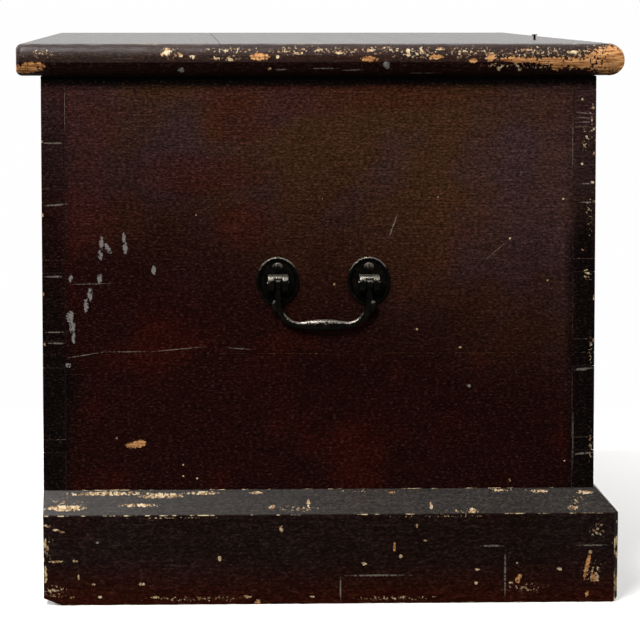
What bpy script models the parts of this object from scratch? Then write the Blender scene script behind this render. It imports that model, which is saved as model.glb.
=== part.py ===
"""A painted pine blanket box with a hinged lid and an iron drop handle on each end.

Metres, +Z up. The origin is on the floor, under the centre of the box seen from above. X runs along the
box, the front faces -Y and the left end faces -X.
"""

import math
from itertools import pairwise

import bmesh
import bpy
from mathutils import Matrix, Vector

# Carcass: two edge-jointed boards on each side, dovetailed at the corners.
BODY_LENGTH = 1.050
BODY_DEPTH = 0.522
CARCASS_HEIGHT = 0.4355
BOARD = 0.021
LOWER_BOARD_HEIGHT = 0.174

# Dovetails: pins on the end boards, measured on the outer face. The upper tails widen downwards.
PIN_WIDTH = 0.012
HALF_PIN = 0.0125
PIN_SLOPE = 1 / 7
UPPER_TAILS = 4
UPPER_TAIL_SPREAD = 0.28
LOWER_TAILS = 2
LOWER_TAIL_SPREAD = 0.0

# Floor boards nailed under the carcass, and the plinth that hides them.
FLOOR_BOARDS = 5
FLOOR_BOARD = 0.018
TOE_HEIGHT = 0.044
PLINTH_BOARD = 0.0213
PLINTH_HEIGHT = 0.107
PLINTH_CHAMFER_HEIGHT = 0.0215
PLINTH_LAND = 0.0015
BACK_RAIL = 0.020
CORNER_BLOCK = 0.045

# Lid: edge-jointed boards with a round nose on the front and the ends, and two battens below.
LID_BOARDS = 3
LID_THICKNESS = 0.030
LID_FRONT_OVERHANG = 0.0257
LID_BACK_OVERHANG = 0.0224
LID_END_OVERHANG = 0.026
LID_EDGE_FLAT = 0.001
LID_BACK_ARRIS = 0.004
LID_LIFT = 0.0006
BATTEN_WIDTH = 0.065
BATTEN_THICKNESS = 0.020
BATTEN_INSET = 0.150
BATTEN_CLEARANCE = 0.008
BATTEN_ARRIS = 0.004

# Butt hinges let into the top of the back board and the underside of the lid.
HINGE_LENGTH = 0.076
HINGE_INSET = 0.205
LEAF_THICKNESS = 0.0022
LEAF_LAND = 0.004
KNUCKLE_RADIUS = 0.004
KNUCKLES = 5
HINGE_PIN_RADIUS = 0.002
HINGE_SCREWS = 3
HINGE_SCREW_PITCH = 0.026
HINGE_SCREW_HEAD_RADIUS = 0.0036
HINGE_SCREW_HEAD_DEPTH = 0.0016
HINGE_SCREW_SHANK_RADIUS = 0.0018
HINGE_SCREW_LENGTH = 0.016

# Drop handles: two oval dished roses with forked lugs, and a bail that hangs in them. The rose's bead is
# given as shares of its half width and of the rim's rise.
HANDLE_BELOW_TOP = 0.193
HANDLE_TOWARDS_FRONT = 0.0035
HANDLE_SPAN = 0.086
ROSE_WIDTH = 0.0406
ROSE_HEIGHT = 0.0472
ROSE_FLOOR = 0.003
ROSE_FLOOR_SHARE = 0.82
ROSE_RIM = 0.0048
ROSE_BEAD = ((0.86, 0.7), (0.90, 1.0), (0.95, 0.6))
ROSE_EDGE = 0.0012
ROSE_SPIGOT_RADIUS = 0.004
ROSE_SPIGOT_LENGTH = 0.010
ROSE_SPIGOT_DROP = 0.006
LUG_WIDTH = 0.019
LUG_RADIUS = 0.008
LUG_FOOT = 0.013
LUG_ROUND = math.radians(150)
PIVOT_OUT = 0.014
PIVOT_RADIUS = 0.0025
PIVOT_PEEN = 0.0008
BAIL_EYE_WIDTH = 0.0062
BAIL_EYE_RADIUS = 0.0052
BAIL_DROP = 0.039
BAIL_BEND_RADIUS = 0.021
BAIL_LEG_RADIUS = 0.0032
BAIL_GRIP_RADIUS = 0.0057
BAIL_HEEL_RADIUS = 0.0043
BAIL_HEEL_OUT = 0.0024
BAIL_HEEL_TURN = math.radians(12)
ROSE_SCREW_HEAD_RADIUS = 0.0054
ROSE_SCREW_DOME = 0.0024
ROSE_SCREW_SHANK_RADIUS = 0.0022
ROSE_SCREW_LENGTH = 0.018

# Screw slots.
SLOT_WIDTH = 0.0011
SLOT_DEPTH = 0.0009

# A nail left standing out of the lid.
NAIL_FROM_LEFT = 0.310
NAIL_FROM_FRONT = 0.055
NAIL_SHANK_RADIUS = 0.0012
NAIL_HEAD_RADIUS = 0.0027
NAIL_HEAD_THICKNESS = 0.0012
NAIL_PROUD = 0.0055
NAIL_SUNK = 0.018

# Clearances: between seated pieces, of a pin in its bore, of the bail between its ears, round a rose
# screw's head, and past a cut.
SEAT = 0.0003
RUNNING = 0.0002
EAR_CLEARANCE = 0.0005
HEAD_CLEARANCE = 0.001
OVERCUT = 0.002

# Facets of round shapes.
NOSE_SEGMENTS = 6
ARRIS_SEGMENTS = 2
ROD_SIDES = 16
ROSE_SIDES = 28
SCREW_SIDES = 12
BAIL_SIDES = 12
BEND_STEPS = 8
GRIP_STEPS = 6
SHARP_ANGLE = math.radians(35)

# Planes that the pieces share.
LEFT = -BODY_LENGTH / 2
RIGHT = BODY_LENGTH / 2
LID_FRONT = -(BODY_DEPTH + LID_FRONT_OVERHANG + LID_BACK_OVERHANG) / 2
FRONT = LID_FRONT + LID_FRONT_OVERHANG
BACK = FRONT + BODY_DEPTH
LID_BACK = BACK + LID_BACK_OVERHANG
MIDDLE = (FRONT + BACK) / 2
FLOOR_LOW = TOE_HEIGHT
CARCASS_LOW = FLOOR_LOW + FLOOR_BOARD
BOARD_JOINT = CARCASS_LOW + LOWER_BOARD_HEIGHT
CARCASS_TOP = CARCASS_LOW + CARCASS_HEIGHT
LID_LOW = CARCASS_TOP + LID_LIFT
LID_TOP = LID_LOW + LID_THICKNESS
NAIL_X = LEFT - LID_END_OVERHANG + NAIL_FROM_LEFT
NAIL_TOP = Vector((NAIL_X, LID_FRONT + NAIL_FROM_FRONT, LID_TOP + NAIL_PROUD))
LEAF_REACH = BOARD - LEAF_LAND
HINGE_AXIS = Vector((0, BACK + KNUCKLE_RADIUS + SEAT, CARCASS_TOP + LID_LIFT / 2))
LUG_GAP = BAIL_EYE_WIDTH + 2 * EAR_CLEARANCE
ROSE_SCREW_UP = ROSE_FLOOR_SHARE * ROSE_HEIGHT / 2 - ROSE_SCREW_HEAD_RADIUS - HEAD_CLEARANCE
LUG_TOP = ROSE_SCREW_UP - ROSE_SCREW_HEAD_RADIUS - HEAD_CLEARANCE
PIVOT_DROP = LUG_RADIUS - LUG_TOP
LEVELS = {
    "upper": (BOARD_JOINT + SEAT / 2, CARCASS_TOP, UPPER_TAILS, UPPER_TAIL_SPREAD),
    "lower": (CARCASS_LOW, BOARD_JOINT - SEAT / 2, LOWER_TAILS, LOWER_TAIL_SPREAD),
}


def clear_scene():
    for obj in list(bpy.data.objects):
        bpy.data.objects.remove(obj)


def finish(name, colour, roughness, metallic=0.0):
    """A material of one sRGB colour, roughness and metallic value."""
    material = bpy.data.materials.new(name)
    material.use_nodes = True
    shader = material.node_tree.nodes["Principled BSDF"]
    levels = [int(colour[i : i + 2], 16) / 255 for i in (1, 3, 5)]
    linear = [((v + 0.055) / 1.055) ** 2.4 if v > 0.04045 else v / 12.92 for v in levels]
    shader.inputs["Base Color"].default_value = (*linear, 1)
    shader.inputs["Roughness"].default_value = roughness
    shader.inputs["Metallic"].default_value = metallic
    return material


def axis_empty(name, place):
    """An empty on a joint's axis, to carry the pieces that turn about it."""
    empty = bpy.data.objects.new(name, None)
    empty.location = place
    empty.empty_display_size = BOARD
    bpy.context.scene.collection.objects.link(empty)
    return empty


def add(name, solid, material, parent=None):
    """An object from a solid in world coordinates, with its origin at the centre of its box."""
    corners = [[pick(v.co[i] for v in solid.verts) for i in range(3)] for pick in (min, max)]
    centre = (Vector(corners[0]) + Vector(corners[1])) / 2
    bmesh.ops.translate(solid, vec=-centre, verts=solid.verts)
    mesh = bpy.data.meshes.new(name)
    solid.to_mesh(mesh)
    solid.free()
    mesh.shade_smooth()
    mesh.set_sharp_from_angle(angle=SHARP_ANGLE)
    mesh.materials.append(material)
    obj = bpy.data.objects.new(name, mesh)
    obj.parent = parent
    obj.location = centre - parent.location if parent else centre
    bpy.context.scene.collection.objects.link(obj)
    return obj


def loft(start, end):
    """A closed solid between two outlines that have the same number of points."""
    solid = bmesh.new()
    first = [solid.verts.new(point) for point in start]
    last = [solid.verts.new(point) for point in end]
    solid.faces.new(first)
    solid.faces.new(last)
    for i in range(len(first)):
        solid.faces.new((first[i - 1], first[i], last[i], last[i - 1]))
    bmesh.ops.recalc_face_normals(solid, faces=solid.faces)
    return solid


def block(low, high):
    """A box between two opposite corners."""
    (x0, y0, z0), (x1, y1, z1) = low, high
    corners = [(x0, y0), (x1, y0), (x1, y1), (x0, y1)]
    return loft([(x, y, z0) for x, y in corners], [(x, y, z1) for x, y in corners])


def rod(start, end, radius, sides=ROD_SIDES):
    """A round bar between two points."""
    along = Vector(end) - Vector(start)
    turn = along.to_track_quat("Z", "Y").to_matrix().to_4x4()
    place = Matrix.Translation((Vector(start) + Vector(end)) / 2) @ turn
    solid = bmesh.new()
    bmesh.ops.create_cone(
        solid,
        cap_ends=True,
        segments=sides,
        radius1=radius,
        radius2=radius,
        depth=along.length,
        matrix=place,
    )
    return solid


def turned(profile, sides):
    """A solid of revolution about Z from (radius, height) points that start and end on the axis."""
    solid = bmesh.new()
    points = [solid.verts.new((radius, 0, height)) for radius, height in profile]
    edges = [solid.edges.new(pair) for pair in pairwise(points)]
    bmesh.ops.spin(
        solid,
        geom=points + edges,
        cent=(0, 0, 0),
        axis=(0, 0, 1),
        angle=math.tau,
        steps=sides,
        use_merge=True,
    )
    bmesh.ops.remove_doubles(solid, verts=solid.verts, dist=1e-6)
    bmesh.ops.recalc_face_normals(solid, faces=solid.faces)
    return solid


def placed(solid, matrix):
    bmesh.ops.transform(solid, matrix=matrix, verts=solid.verts)
    return solid


def combine(first, second, operation):
    """The Boolean of two solids, as a new solid."""
    pair = []
    for solid in (first, second):
        mesh = bpy.data.meshes.new("operand")
        solid.to_mesh(mesh)
        solid.free()
        obj = bpy.data.objects.new("operand", mesh)
        bpy.context.scene.collection.objects.link(obj)
        pair.append(obj)
    modifier = pair[0].modifiers.new("combine", "BOOLEAN")
    modifier.operation = operation
    modifier.object = pair[1]
    result = bmesh.new()
    result.from_object(pair[0], bpy.context.evaluated_depsgraph_get())
    for obj in pair:
        bpy.data.meshes.remove(obj.data)
    return result


def join(first, *others):
    for other in others:
        first = combine(first, other, "UNION")
    return first


def cut(solid, *tools):
    for tool in tools:
        solid = combine(solid, tool, "DIFFERENCE")
    return solid


def keep_side(solid, point, normal):
    """Cuts a solid with a plane and keeps the side that the normal points away from."""
    geometry = solid.verts[:] + solid.edges[:] + solid.faces[:]
    made = bmesh.ops.bisect_plane(
        solid, geom=geometry, plane_co=point, plane_no=normal, clear_outer=True
    )
    rim = [item for item in made["geom_cut"] if isinstance(item, bmesh.types.BMEdge)]
    bmesh.ops.contextual_create(solid, geom=rim)
    return solid


def round_edges(solid, chosen, radius, segments):
    bmesh.ops.bevel(
        solid,
        geom=[edge for edge in solid.edges if chosen(*(v.co for v in edge.verts))],
        offset=radius,
        segments=segments,
        profile=0.5,
        affect="EDGES",
    )
    return solid


# Dovetailed carcass


def pin_heights(low, high, tails, spread):
    """Heights of each pin on the outer face, from the bottom up, with half pins at both edges."""
    tail = (high - low - 2 * HALF_PIN - (tails - 1) * PIN_WIDTH) / tails
    pins = [(low, low + HALF_PIN)]
    for i in range(tails):
        share = 1 + spread * (1 - 2 * i / max(tails - 1, 1))
        start = pins[-1][1] + tail * share
        pins.append((start, start + PIN_WIDTH))
    pins[-1] = (pins[-1][0], high)
    return pins


def widened(pins, margin):
    """The same pins with a margin on each side that faces a tail."""
    inner = [(low - margin, high + margin) for low, high in pins]
    inner[0] = (pins[0][0], inner[0][1])
    inner[-1] = (inner[-1][0], pins[-1][1])
    return inner


def end_outline(x, pins):
    """An end board's outline in the plane at x, with its pins reaching the front and back faces."""
    reach = BODY_DEPTH / 2
    shoulder = reach - BOARD - SEAT
    side = []
    for low, high in pins:
        side += [(shoulder, low), (reach, low), (reach, high), (shoulder, high)]
    side = side[1:-1]
    front = [(x, MIDDLE - y, z) for y, z in side]
    back = [(x, MIDDLE + y, z) for y, z in reversed(side)]
    return front + back


def end_board(x_out, x_in, level):
    pins = pin_heights(*LEVELS[level])
    return loft(end_outline(x_out, pins), end_outline(x_in, widened(pins, PIN_SLOPE * BOARD)))


def tail_board(y_out, y_in, level):
    """A front or back board: its tails flare towards the ends and fill the space between the pins."""
    pins = pin_heights(*LEVELS[level])
    mouths = widened(pins, SEAT)
    roots = widened(pins, PIN_SLOPE * BOARD + SEAT)
    tip = BODY_LENGTH / 2
    baseline = tip - BOARD - SEAT
    side = []
    for mouth, root in zip(mouths, roots):
        side += [(tip, mouth[0]), (baseline, root[0]), (baseline, root[1]), (tip, mouth[1])]
    side = side[1:-1]
    outline = side + [(-x, z) for x, z in reversed(side)]
    return loft([(x, y_out, z) for x, z in outline], [(x, y_in, z) for x, z in outline])


def build_carcass(paint):
    for level in LEVELS:
        for end, side in (("left", -1), ("right", 1)):
            face = side * BODY_LENGTH / 2
            board = end_board(face, face - side * BOARD, level)
            board = cut(board, *rose_sockets(side))
            add(f"{end}_end_{level}_board", board, paint)
        add(f"front_{level}_board", tail_board(FRONT, FRONT + BOARD, level), paint)
        board = tail_board(BACK, BACK - BOARD, level)
        for side in (-1, 1):
            board = cut(board, *back_leaf_seat(hinge_centre(side)))
        add(f"back_{level}_board", board, paint)


# Floor and plinth


def build_floor(bare):
    width = BODY_LENGTH / FLOOR_BOARDS
    for i in range(FLOOR_BOARDS):
        low = (LEFT + i * width + SEAT / 2, FRONT, FLOOR_LOW)
        high = (LEFT + (i + 1) * width - SEAT / 2, BACK, CARCASS_LOW - SEAT)
        add(f"floor_board_{i + 1}", block(low, high), bare)


def plinth_profile():
    """A plinth board's section, as (distance out of the carcass face, height)."""
    out = SEAT + PLINTH_BOARD
    shoulder = PLINTH_HEIGHT - PLINTH_CHAMFER_HEIGHT
    return [(SEAT, 0), (out, 0), (out, shoulder), (SEAT + PLINTH_LAND, PLINTH_HEIGHT), (SEAT, PLINTH_HEIGHT)]


def build_plinth(paint, bare):
    section = plinth_profile()
    mitre = SEAT / 2
    start = [(LEFT - out + mitre, FRONT - out, z) for out, z in section]
    end = [(RIGHT + out - mitre, FRONT - out, z) for out, z in section]
    add("plinth_front", loft(start, end), paint)
    for name, face, side in (("left", LEFT, -1), ("right", RIGHT, 1)):
        start = [(face + side * out, FRONT - out + mitre, z) for out, z in section]
        end = [(face + side * out, BACK, z) for out, z in section]
        add(f"plinth_{name}_end", loft(start, end), paint)
    top = TOE_HEIGHT - SEAT
    rail = block((LEFT, BACK - BACK_RAIL, 0), (RIGHT, BACK, top))
    add("plinth_back_rail", rail, bare)
    rail_face = BACK - BACK_RAIL - SEAT
    for name, y, inward in (("front", FRONT, 1), ("back", rail_face, -1)):
        for end, x, side in (("left", LEFT, 1), ("right", RIGHT, -1)):
            corner = [(x, y), (x + side * CORNER_BLOCK, y), (x, y + inward * CORNER_BLOCK)]
            block_solid = loft([(*p, 0) for p in corner], [(*p, top) for p in corner])
            add(f"corner_block_{name}_{end}", block_solid, bare)


# Lid


def whole_lid():
    """The lid before it is parted into boards: round nose in front and at the ends, small arris behind."""
    left = LEFT - LID_END_OVERHANG
    right = RIGHT + LID_END_OVERHANG
    lid = block((left, LID_FRONT, LID_LOW), (right, LID_BACK, LID_TOP))
    near = 1e-6

    def on_nose(a, b):
        return min(a.y, b.y) < LID_BACK - near

    def on_back(a, b):
        return min(a.y, b.y) > LID_BACK - near

    round_edges(lid, on_nose, (LID_THICKNESS - LID_EDGE_FLAT) / 2, NOSE_SEGMENTS)
    return round_edges(lid, on_back, LID_BACK_ARRIS, ARRIS_SEGMENTS)


def nail_shank(grow):
    """The proud nail's shank, or with a margin the hole for it."""
    low = NAIL_TOP - Vector((0, 0, NAIL_PROUD + NAIL_SUNK + grow))
    high = NAIL_TOP - Vector((0, 0, NAIL_HEAD_THICKNESS / 2))
    return rod(low, high, NAIL_SHANK_RADIUS + grow, SCREW_SIDES)


def build_nail(iron, lid_axis):
    under_head = NAIL_TOP - Vector((0, 0, NAIL_HEAD_THICKNESS))
    head = rod(under_head, NAIL_TOP, NAIL_HEAD_RADIUS, SCREW_SIDES)
    add("lid_nail", join(head, nail_shank(0)), iron, lid_axis)


def build_lid(paint, bare, lid_axis):
    width = (LID_BACK - LID_FRONT) / LID_BOARDS
    for i in range(LID_BOARDS):
        board = whole_lid()
        if i > 0:
            keep_side(board, (0, LID_FRONT + i * width + SEAT / 2, 0), (0, -1, 0))
        if i < LID_BOARDS - 1:
            keep_side(board, (0, LID_FRONT + (i + 1) * width - SEAT / 2, 0), (0, 1, 0))
        board = cut(board, nail_shank(SEAT))
        for side in (-1, 1):
            board = cut(board, *lid_leaf_seat(hinge_centre(side)))
        add(f"lid_board_{i + 1}", board, paint, lid_axis)
    low_y = FRONT + BOARD + BATTEN_CLEARANCE
    high_y = BACK - BOARD - BATTEN_CLEARANCE
    for name, x in (("left", LEFT + BATTEN_INSET), ("right", RIGHT - BATTEN_INSET)):
        top = LID_LOW - SEAT
        low = (x - BATTEN_WIDTH / 2, low_y, top - BATTEN_THICKNESS)
        high = (x + BATTEN_WIDTH / 2, high_y, top)
        batten = block(low, high)

        def under_side(a, b):
            return max(a.z, b.z) < top - BATTEN_THICKNESS / 2

        round_edges(batten, under_side, BATTEN_ARRIS, ARRIS_SEGMENTS)
        add(f"lid_batten_{name}", batten, bare, lid_axis)


# Hinges


def hinge_centre(side):
    return side * (BODY_LENGTH / 2 - HINGE_INSET)


def screw_places(x):
    """X of each screw in a leaf, spread about the hinge's middle."""
    first = x - HINGE_SCREW_PITCH * (HINGE_SCREWS - 1) / 2
    return [first + i * HINGE_SCREW_PITCH for i in range(HINGE_SCREWS)]


def leaf_screw_frame(x, up):
    """Places a screw that points down from its head, on the carcass leaf or turned over on the lid leaf."""
    y = BACK - LEAF_REACH / 2
    if up:
        return Matrix.Translation((x, y, LID_LOW)) @ Matrix.Rotation(math.pi, 4, "X")
    return Matrix.Translation((x, y, CARCASS_TOP))


def countersunk(grow, above):
    """A countersunk screw with its flat head at height 0, or with margins the hole for it."""
    head = HINGE_SCREW_HEAD_RADIUS + grow
    shank = HINGE_SCREW_SHANK_RADIUS + grow
    end = -HINGE_SCREW_LENGTH - grow
    neck = -HINGE_SCREW_HEAD_DEPTH - grow
    profile = [(0, above), (head, above), (head, -grow), (shank, neck), (shank, end), (0, end)]
    return turned(profile, SCREW_SIDES)


def screw_holes(x, up):
    return [placed(countersunk(SEAT, OVERCUT), leaf_screw_frame(sx, up)) for sx in screw_places(x)]


def leaf_recess(x, height, depth_to):
    """The shallow recess that a leaf lies in."""
    half = HINGE_LENGTH / 2 + SEAT
    low = min(height, depth_to)
    high = max(height, depth_to)
    return block((x - half, BACK - LEAF_REACH - SEAT, low), (x + half, BACK + OVERCUT, high))


def back_leaf_seat(x):
    recess = leaf_recess(x, CARCASS_TOP + OVERCUT, CARCASS_TOP - LEAF_THICKNESS - SEAT)
    return [recess, *screw_holes(x, False)]


def lid_leaf_seat(x):
    recess = leaf_recess(x, LID_LOW - OVERCUT, LID_LOW + LEAF_THICKNESS + SEAT)
    half = HINGE_LENGTH / 2 + SEAT
    reach = KNUCKLE_RADIUS + SEAT
    low = HINGE_AXIS - Vector((half, reach, reach))
    high = HINGE_AXIS + Vector((half, reach, reach))
    knuckle_room = block(low + Vector((x, 0, 0)), high + Vector((x, 0, 0)))
    return [recess, knuckle_room, *screw_holes(x, True)]


def leaf(x, low, high, own):
    """A leaf between two heights with its own knuckles, bored for the pin and the screws."""
    half = HINGE_LENGTH / 2
    solid = block((x - half, BACK - LEAF_REACH, low), (x + half, BACK, high))
    pitch = HINGE_LENGTH / KNUCKLES
    for i in own:
        start = x - half + i * pitch + SEAT / 2
        end = start + pitch - SEAT
        tongue = block((start, BACK - LEAF_LAND, low), (end, HINGE_AXIS.y, high))
        barrel = rod((start, *HINGE_AXIS.yz), (end, *HINGE_AXIS.yz), KNUCKLE_RADIUS)
        solid = join(solid, tongue, barrel)
    beyond = half + OVERCUT
    bore = rod((x - beyond, *HINGE_AXIS.yz), (x + beyond, *HINGE_AXIS.yz), HINGE_PIN_RADIUS + RUNNING)
    return cut(solid, bore)


def slotted(screw, top):
    """Cuts the driver's slot across a screw's head."""
    reach = ROSE_SCREW_HEAD_RADIUS * 2
    low = (-reach, -SLOT_WIDTH / 2, top - SLOT_DEPTH)
    high = (reach, SLOT_WIDTH / 2, top + OVERCUT)
    return cut(screw, block(low, high))


def build_hinge(end, side, iron, lid_axis):
    x = hinge_centre(side)
    half = HINGE_LENGTH / 2
    outer = range(0, KNUCKLES, 2)
    inner = range(1, KNUCKLES, 2)
    back_leaf = leaf(x, CARCASS_TOP - LEAF_THICKNESS, CARCASS_TOP, outer)
    lid_leaf = leaf(x, LID_LOW, LID_LOW + LEAF_THICKNESS, inner)
    add(f"hinge_{end}_back_leaf", cut(back_leaf, *screw_holes(x, False)), iron)
    add(f"hinge_{end}_lid_leaf", cut(lid_leaf, *screw_holes(x, True)), iron, lid_axis)
    pin = rod((x - half, *HINGE_AXIS.yz), (x + half, *HINGE_AXIS.yz), HINGE_PIN_RADIUS)
    add(f"hinge_{end}_pin", pin, iron)
    for i, sx in enumerate(screw_places(x)):
        for part, up, parent in (("back", False, None), ("lid", True, lid_axis)):
            screw = placed(slotted(countersunk(0, 0), 0), leaf_screw_frame(sx, up))
            add(f"hinge_{end}_{part}_screw_{i + 1}", screw, iron, parent)


# Handles


def handle_frame(side):
    """A handle's own axes: X out of the end board, from a point midway between the roses."""
    middle = MIDDLE - HANDLE_TOWARDS_FRONT
    place = Matrix.Translation((side * BODY_LENGTH / 2, middle, CARCASS_TOP - HANDLE_BELOW_TOP))
    return place @ Matrix.Rotation(0 if side > 0 else math.pi, 4, "Z")


def rose_frames(side):
    """The axes of the two roses of one handle, the front one first."""
    half = Vector((0, side * HANDLE_SPAN / 2, 0))
    frame = handle_frame(side)
    front = frame @ Matrix.Translation(-half)
    back = frame @ Matrix.Translation(half)
    return (("front", front), ("back", back))


def rose_sockets(side):
    """Holes in an end board for the spigots and screws of its two roses."""
    holes = []
    for _, frame in rose_frames(side):
        screw = rose_screw_hole(-ROSE_SCREW_LENGTH, OVERCUT)
        holes += [placed(rose_spigot(SEAT), frame), placed(screw, frame)]
    return holes


def rose_screw_hole(start, end):
    """A clearance hole for a rose's screw, between two distances out of the end board."""
    radius = ROSE_SCREW_SHANK_RADIUS + SEAT
    return rod((start, 0, ROSE_SCREW_UP), (end, 0, ROSE_SCREW_UP), radius)


def rose_spigot(grow):
    start = (-ROSE_SPIGOT_LENGTH - grow, 0, -ROSE_SPIGOT_DROP)
    return rod(start, (ROSE_FLOOR / 2, 0, -ROSE_SPIGOT_DROP), ROSE_SPIGOT_RADIUS + grow)


def rose_dish():
    """The oval dish: a flat floor inside a raised bead, turned round and then drawn out to an oval."""
    bead = [(share, ROSE_FLOOR + rise * (ROSE_RIM - ROSE_FLOOR)) for share, rise in ROSE_BEAD]
    profile = [
        (0, ROSE_FLOOR),
        (ROSE_FLOOR_SHARE, ROSE_FLOOR),
        *bead,
        (1.0, SEAT + ROSE_EDGE),
        (1.0, SEAT),
        (0, SEAT),
    ]
    dish = turned(profile, ROSE_SIDES)
    oval = Matrix.Diagonal((1, ROSE_WIDTH / 2, ROSE_HEIGHT / 2, 1))
    return placed(dish, oval @ Matrix.Rotation(math.pi / 2, 4, "Y"))


def lug():
    """The forked lug: two ears round the pivot, joined by a web over the bail's eye."""
    foot = ROSE_FLOOR / 2
    centre = Vector((PIVOT_OUT, -PIVOT_DROP))
    outline = [(foot, centre.y + LUG_RADIUS)]
    for i in range(BEND_STEPS + 1):
        angle = math.pi / 2 - LUG_ROUND * i / BEND_STEPS
        outline.append((centre.x + LUG_RADIUS * math.cos(angle), centre.y + LUG_RADIUS * math.sin(angle)))
    outline.append((foot, centre.y - LUG_FOOT))
    half = LUG_WIDTH / 2
    solid = loft([(x, -half, z) for x, z in outline], [(x, half, z) for x, z in outline])
    below = centre.y - LUG_FOOT - OVERCUT
    web = centre.y + BAIL_EYE_RADIUS + EAR_CLEARANCE
    beyond = PIVOT_OUT + LUG_RADIUS + OVERCUT
    slot = block((ROSE_FLOOR, -LUG_GAP / 2, below), (beyond, LUG_GAP / 2, web))
    return cut(solid, slot, pivot_rod(LUG_WIDTH, PIVOT_RADIUS + SEAT))


def pivot_rod(reach, radius):
    """A bar on the pivot's axis, as far to both sides of the rose."""
    return rod((PIVOT_OUT, -reach, -PIVOT_DROP), (PIVOT_OUT, reach, -PIVOT_DROP), radius)


def rose():
    hole = rose_screw_hole(-OVERCUT, ROSE_RIM + OVERCUT)
    return cut(join(rose_dish(), lug(), rose_spigot(0)), hole)


def rose_screw():
    """A round-headed screw that points along -X, with its head on the rose's floor."""
    head = []
    for i in range(BEND_STEPS // 2 + 1):
        angle = math.pi / 2 * i / (BEND_STEPS // 2)
        head.append((ROSE_SCREW_HEAD_RADIUS * math.sin(angle), ROSE_SCREW_DOME * math.cos(angle)))
    seat = ROSE_FLOOR + SEAT
    tip = -ROSE_SCREW_LENGTH + SEAT
    profile = [(r, seat + z) for r, z in head]
    profile += [(ROSE_SCREW_SHANK_RADIUS, seat), (ROSE_SCREW_SHANK_RADIUS, tip), (0, tip)]
    screw = slotted(turned(profile, SCREW_SIDES), seat + ROSE_SCREW_DOME)
    return placed(screw, Matrix.Translation((0, 0, ROSE_SCREW_UP)) @ Matrix.Rotation(math.pi / 2, 4, "Y"))


def bail_bend():
    """The centre of the bend below the first leg."""
    return Vector((0, -HANDLE_SPAN / 2 + BAIL_BEND_RADIUS, -BAIL_DROP + BAIL_BEND_RADIUS))


def bail_path():
    """Points down one leg, round the bend and along the grip to the other leg, with a radius at each."""
    half = HANDLE_SPAN / 2
    bend = bail_bend()
    points = [Vector((0, -half, 0)), Vector((0, -half, bend.z / 2))]
    for i in range(BEND_STEPS + 1):
        angle = math.pi / 2 * i / BEND_STEPS
        points.append(bend + BAIL_BEND_RADIUS * Vector((0, -math.cos(angle), -math.sin(angle))))
    straight = 2 * (half - BAIL_BEND_RADIUS)
    for i in range(1, GRIP_STEPS // 2 + 1):
        points.append(Vector((0, bend.y + straight * i / GRIP_STEPS, -BAIL_DROP)))
    mirrored = [Vector((0, -p.y, p.z)) for p in reversed(points[:-1])]
    return points + mirrored


def bail_radius(point):
    """Slim at the eyes and full at the middle of the grip."""
    share = min(1.0, abs(point.y) / (HANDLE_SPAN / 2))
    return BAIL_LEG_RADIUS + (BAIL_GRIP_RADIUS - BAIL_LEG_RADIUS) * math.cos(share * math.pi / 2)


def bail_heel(side):
    """The round knob on the outside of one bend."""
    reach = BAIL_BEND_RADIUS + BAIL_HEEL_OUT
    y = -bail_bend().y + reach * math.cos(BAIL_HEEL_TURN)
    z = bail_bend().z - reach * math.sin(BAIL_HEEL_TURN)
    heel = bmesh.new()
    bmesh.ops.create_uvsphere(
        heel,
        u_segments=BAIL_SIDES,
        v_segments=BEND_STEPS,
        radius=BAIL_HEEL_RADIUS,
        matrix=Matrix.Translation((0, side * y, z)),
    )
    return heel


def bail():
    """The bail about its pivot axis: a tapering bar with an eye at each end and a knob at each heel."""
    path = bail_path()
    outward = Vector((1, 0, 0))
    solid = bmesh.new()
    rings = []
    for i, point in enumerate(path):
        along = path[min(i + 1, len(path) - 1)] - path[max(i - 1, 0)]
        across = along.normalized().cross(outward)
        ring = []
        for k in range(BAIL_SIDES):
            turn = math.tau * k / BAIL_SIDES
            spoke = math.cos(turn) * across + math.sin(turn) * outward
            ring.append(solid.verts.new(point + bail_radius(point) * spoke))
        rings.append(ring)
    for ring, following in pairwise(rings):
        for k in range(BAIL_SIDES):
            solid.faces.new((ring[k - 1], ring[k], following[k], following[k - 1]))
    solid.faces.new(rings[0])
    solid.faces.new(rings[-1])
    bmesh.ops.recalc_face_normals(solid, faces=solid.faces)
    for side in (-1, 1):
        leg = side * HANDLE_SPAN / 2
        half = BAIL_EYE_WIDTH / 2
        eye = rod((0, leg - half, 0), (0, leg + half, 0), BAIL_EYE_RADIUS)
        bore = rod((0, leg - 2 * half, 0), (0, leg + 2 * half, 0), PIVOT_RADIUS + RUNNING)
        solid = cut(join(solid, eye, bail_heel(side)), bore)
    return solid


def build_handle(end, side, iron):
    frame = handle_frame(side)
    pivot = frame @ Matrix.Translation((PIVOT_OUT, 0, -PIVOT_DROP))
    axis = axis_empty(f"{end}_bail_axis", pivot.translation)
    add(f"{end}_handle_bail", placed(bail(), pivot), iron, axis)
    for place, rose_frame in rose_frames(side):
        add(f"{end}_handle_{place}_rose", placed(rose(), rose_frame), iron)
        pin = pivot_rod(LUG_WIDTH / 2 + PIVOT_PEEN, PIVOT_RADIUS)
        add(f"{end}_handle_{place}_pivot", placed(pin, rose_frame), iron)
        add(f"{end}_handle_{place}_screw", placed(rose_screw(), rose_frame), iron)


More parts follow.
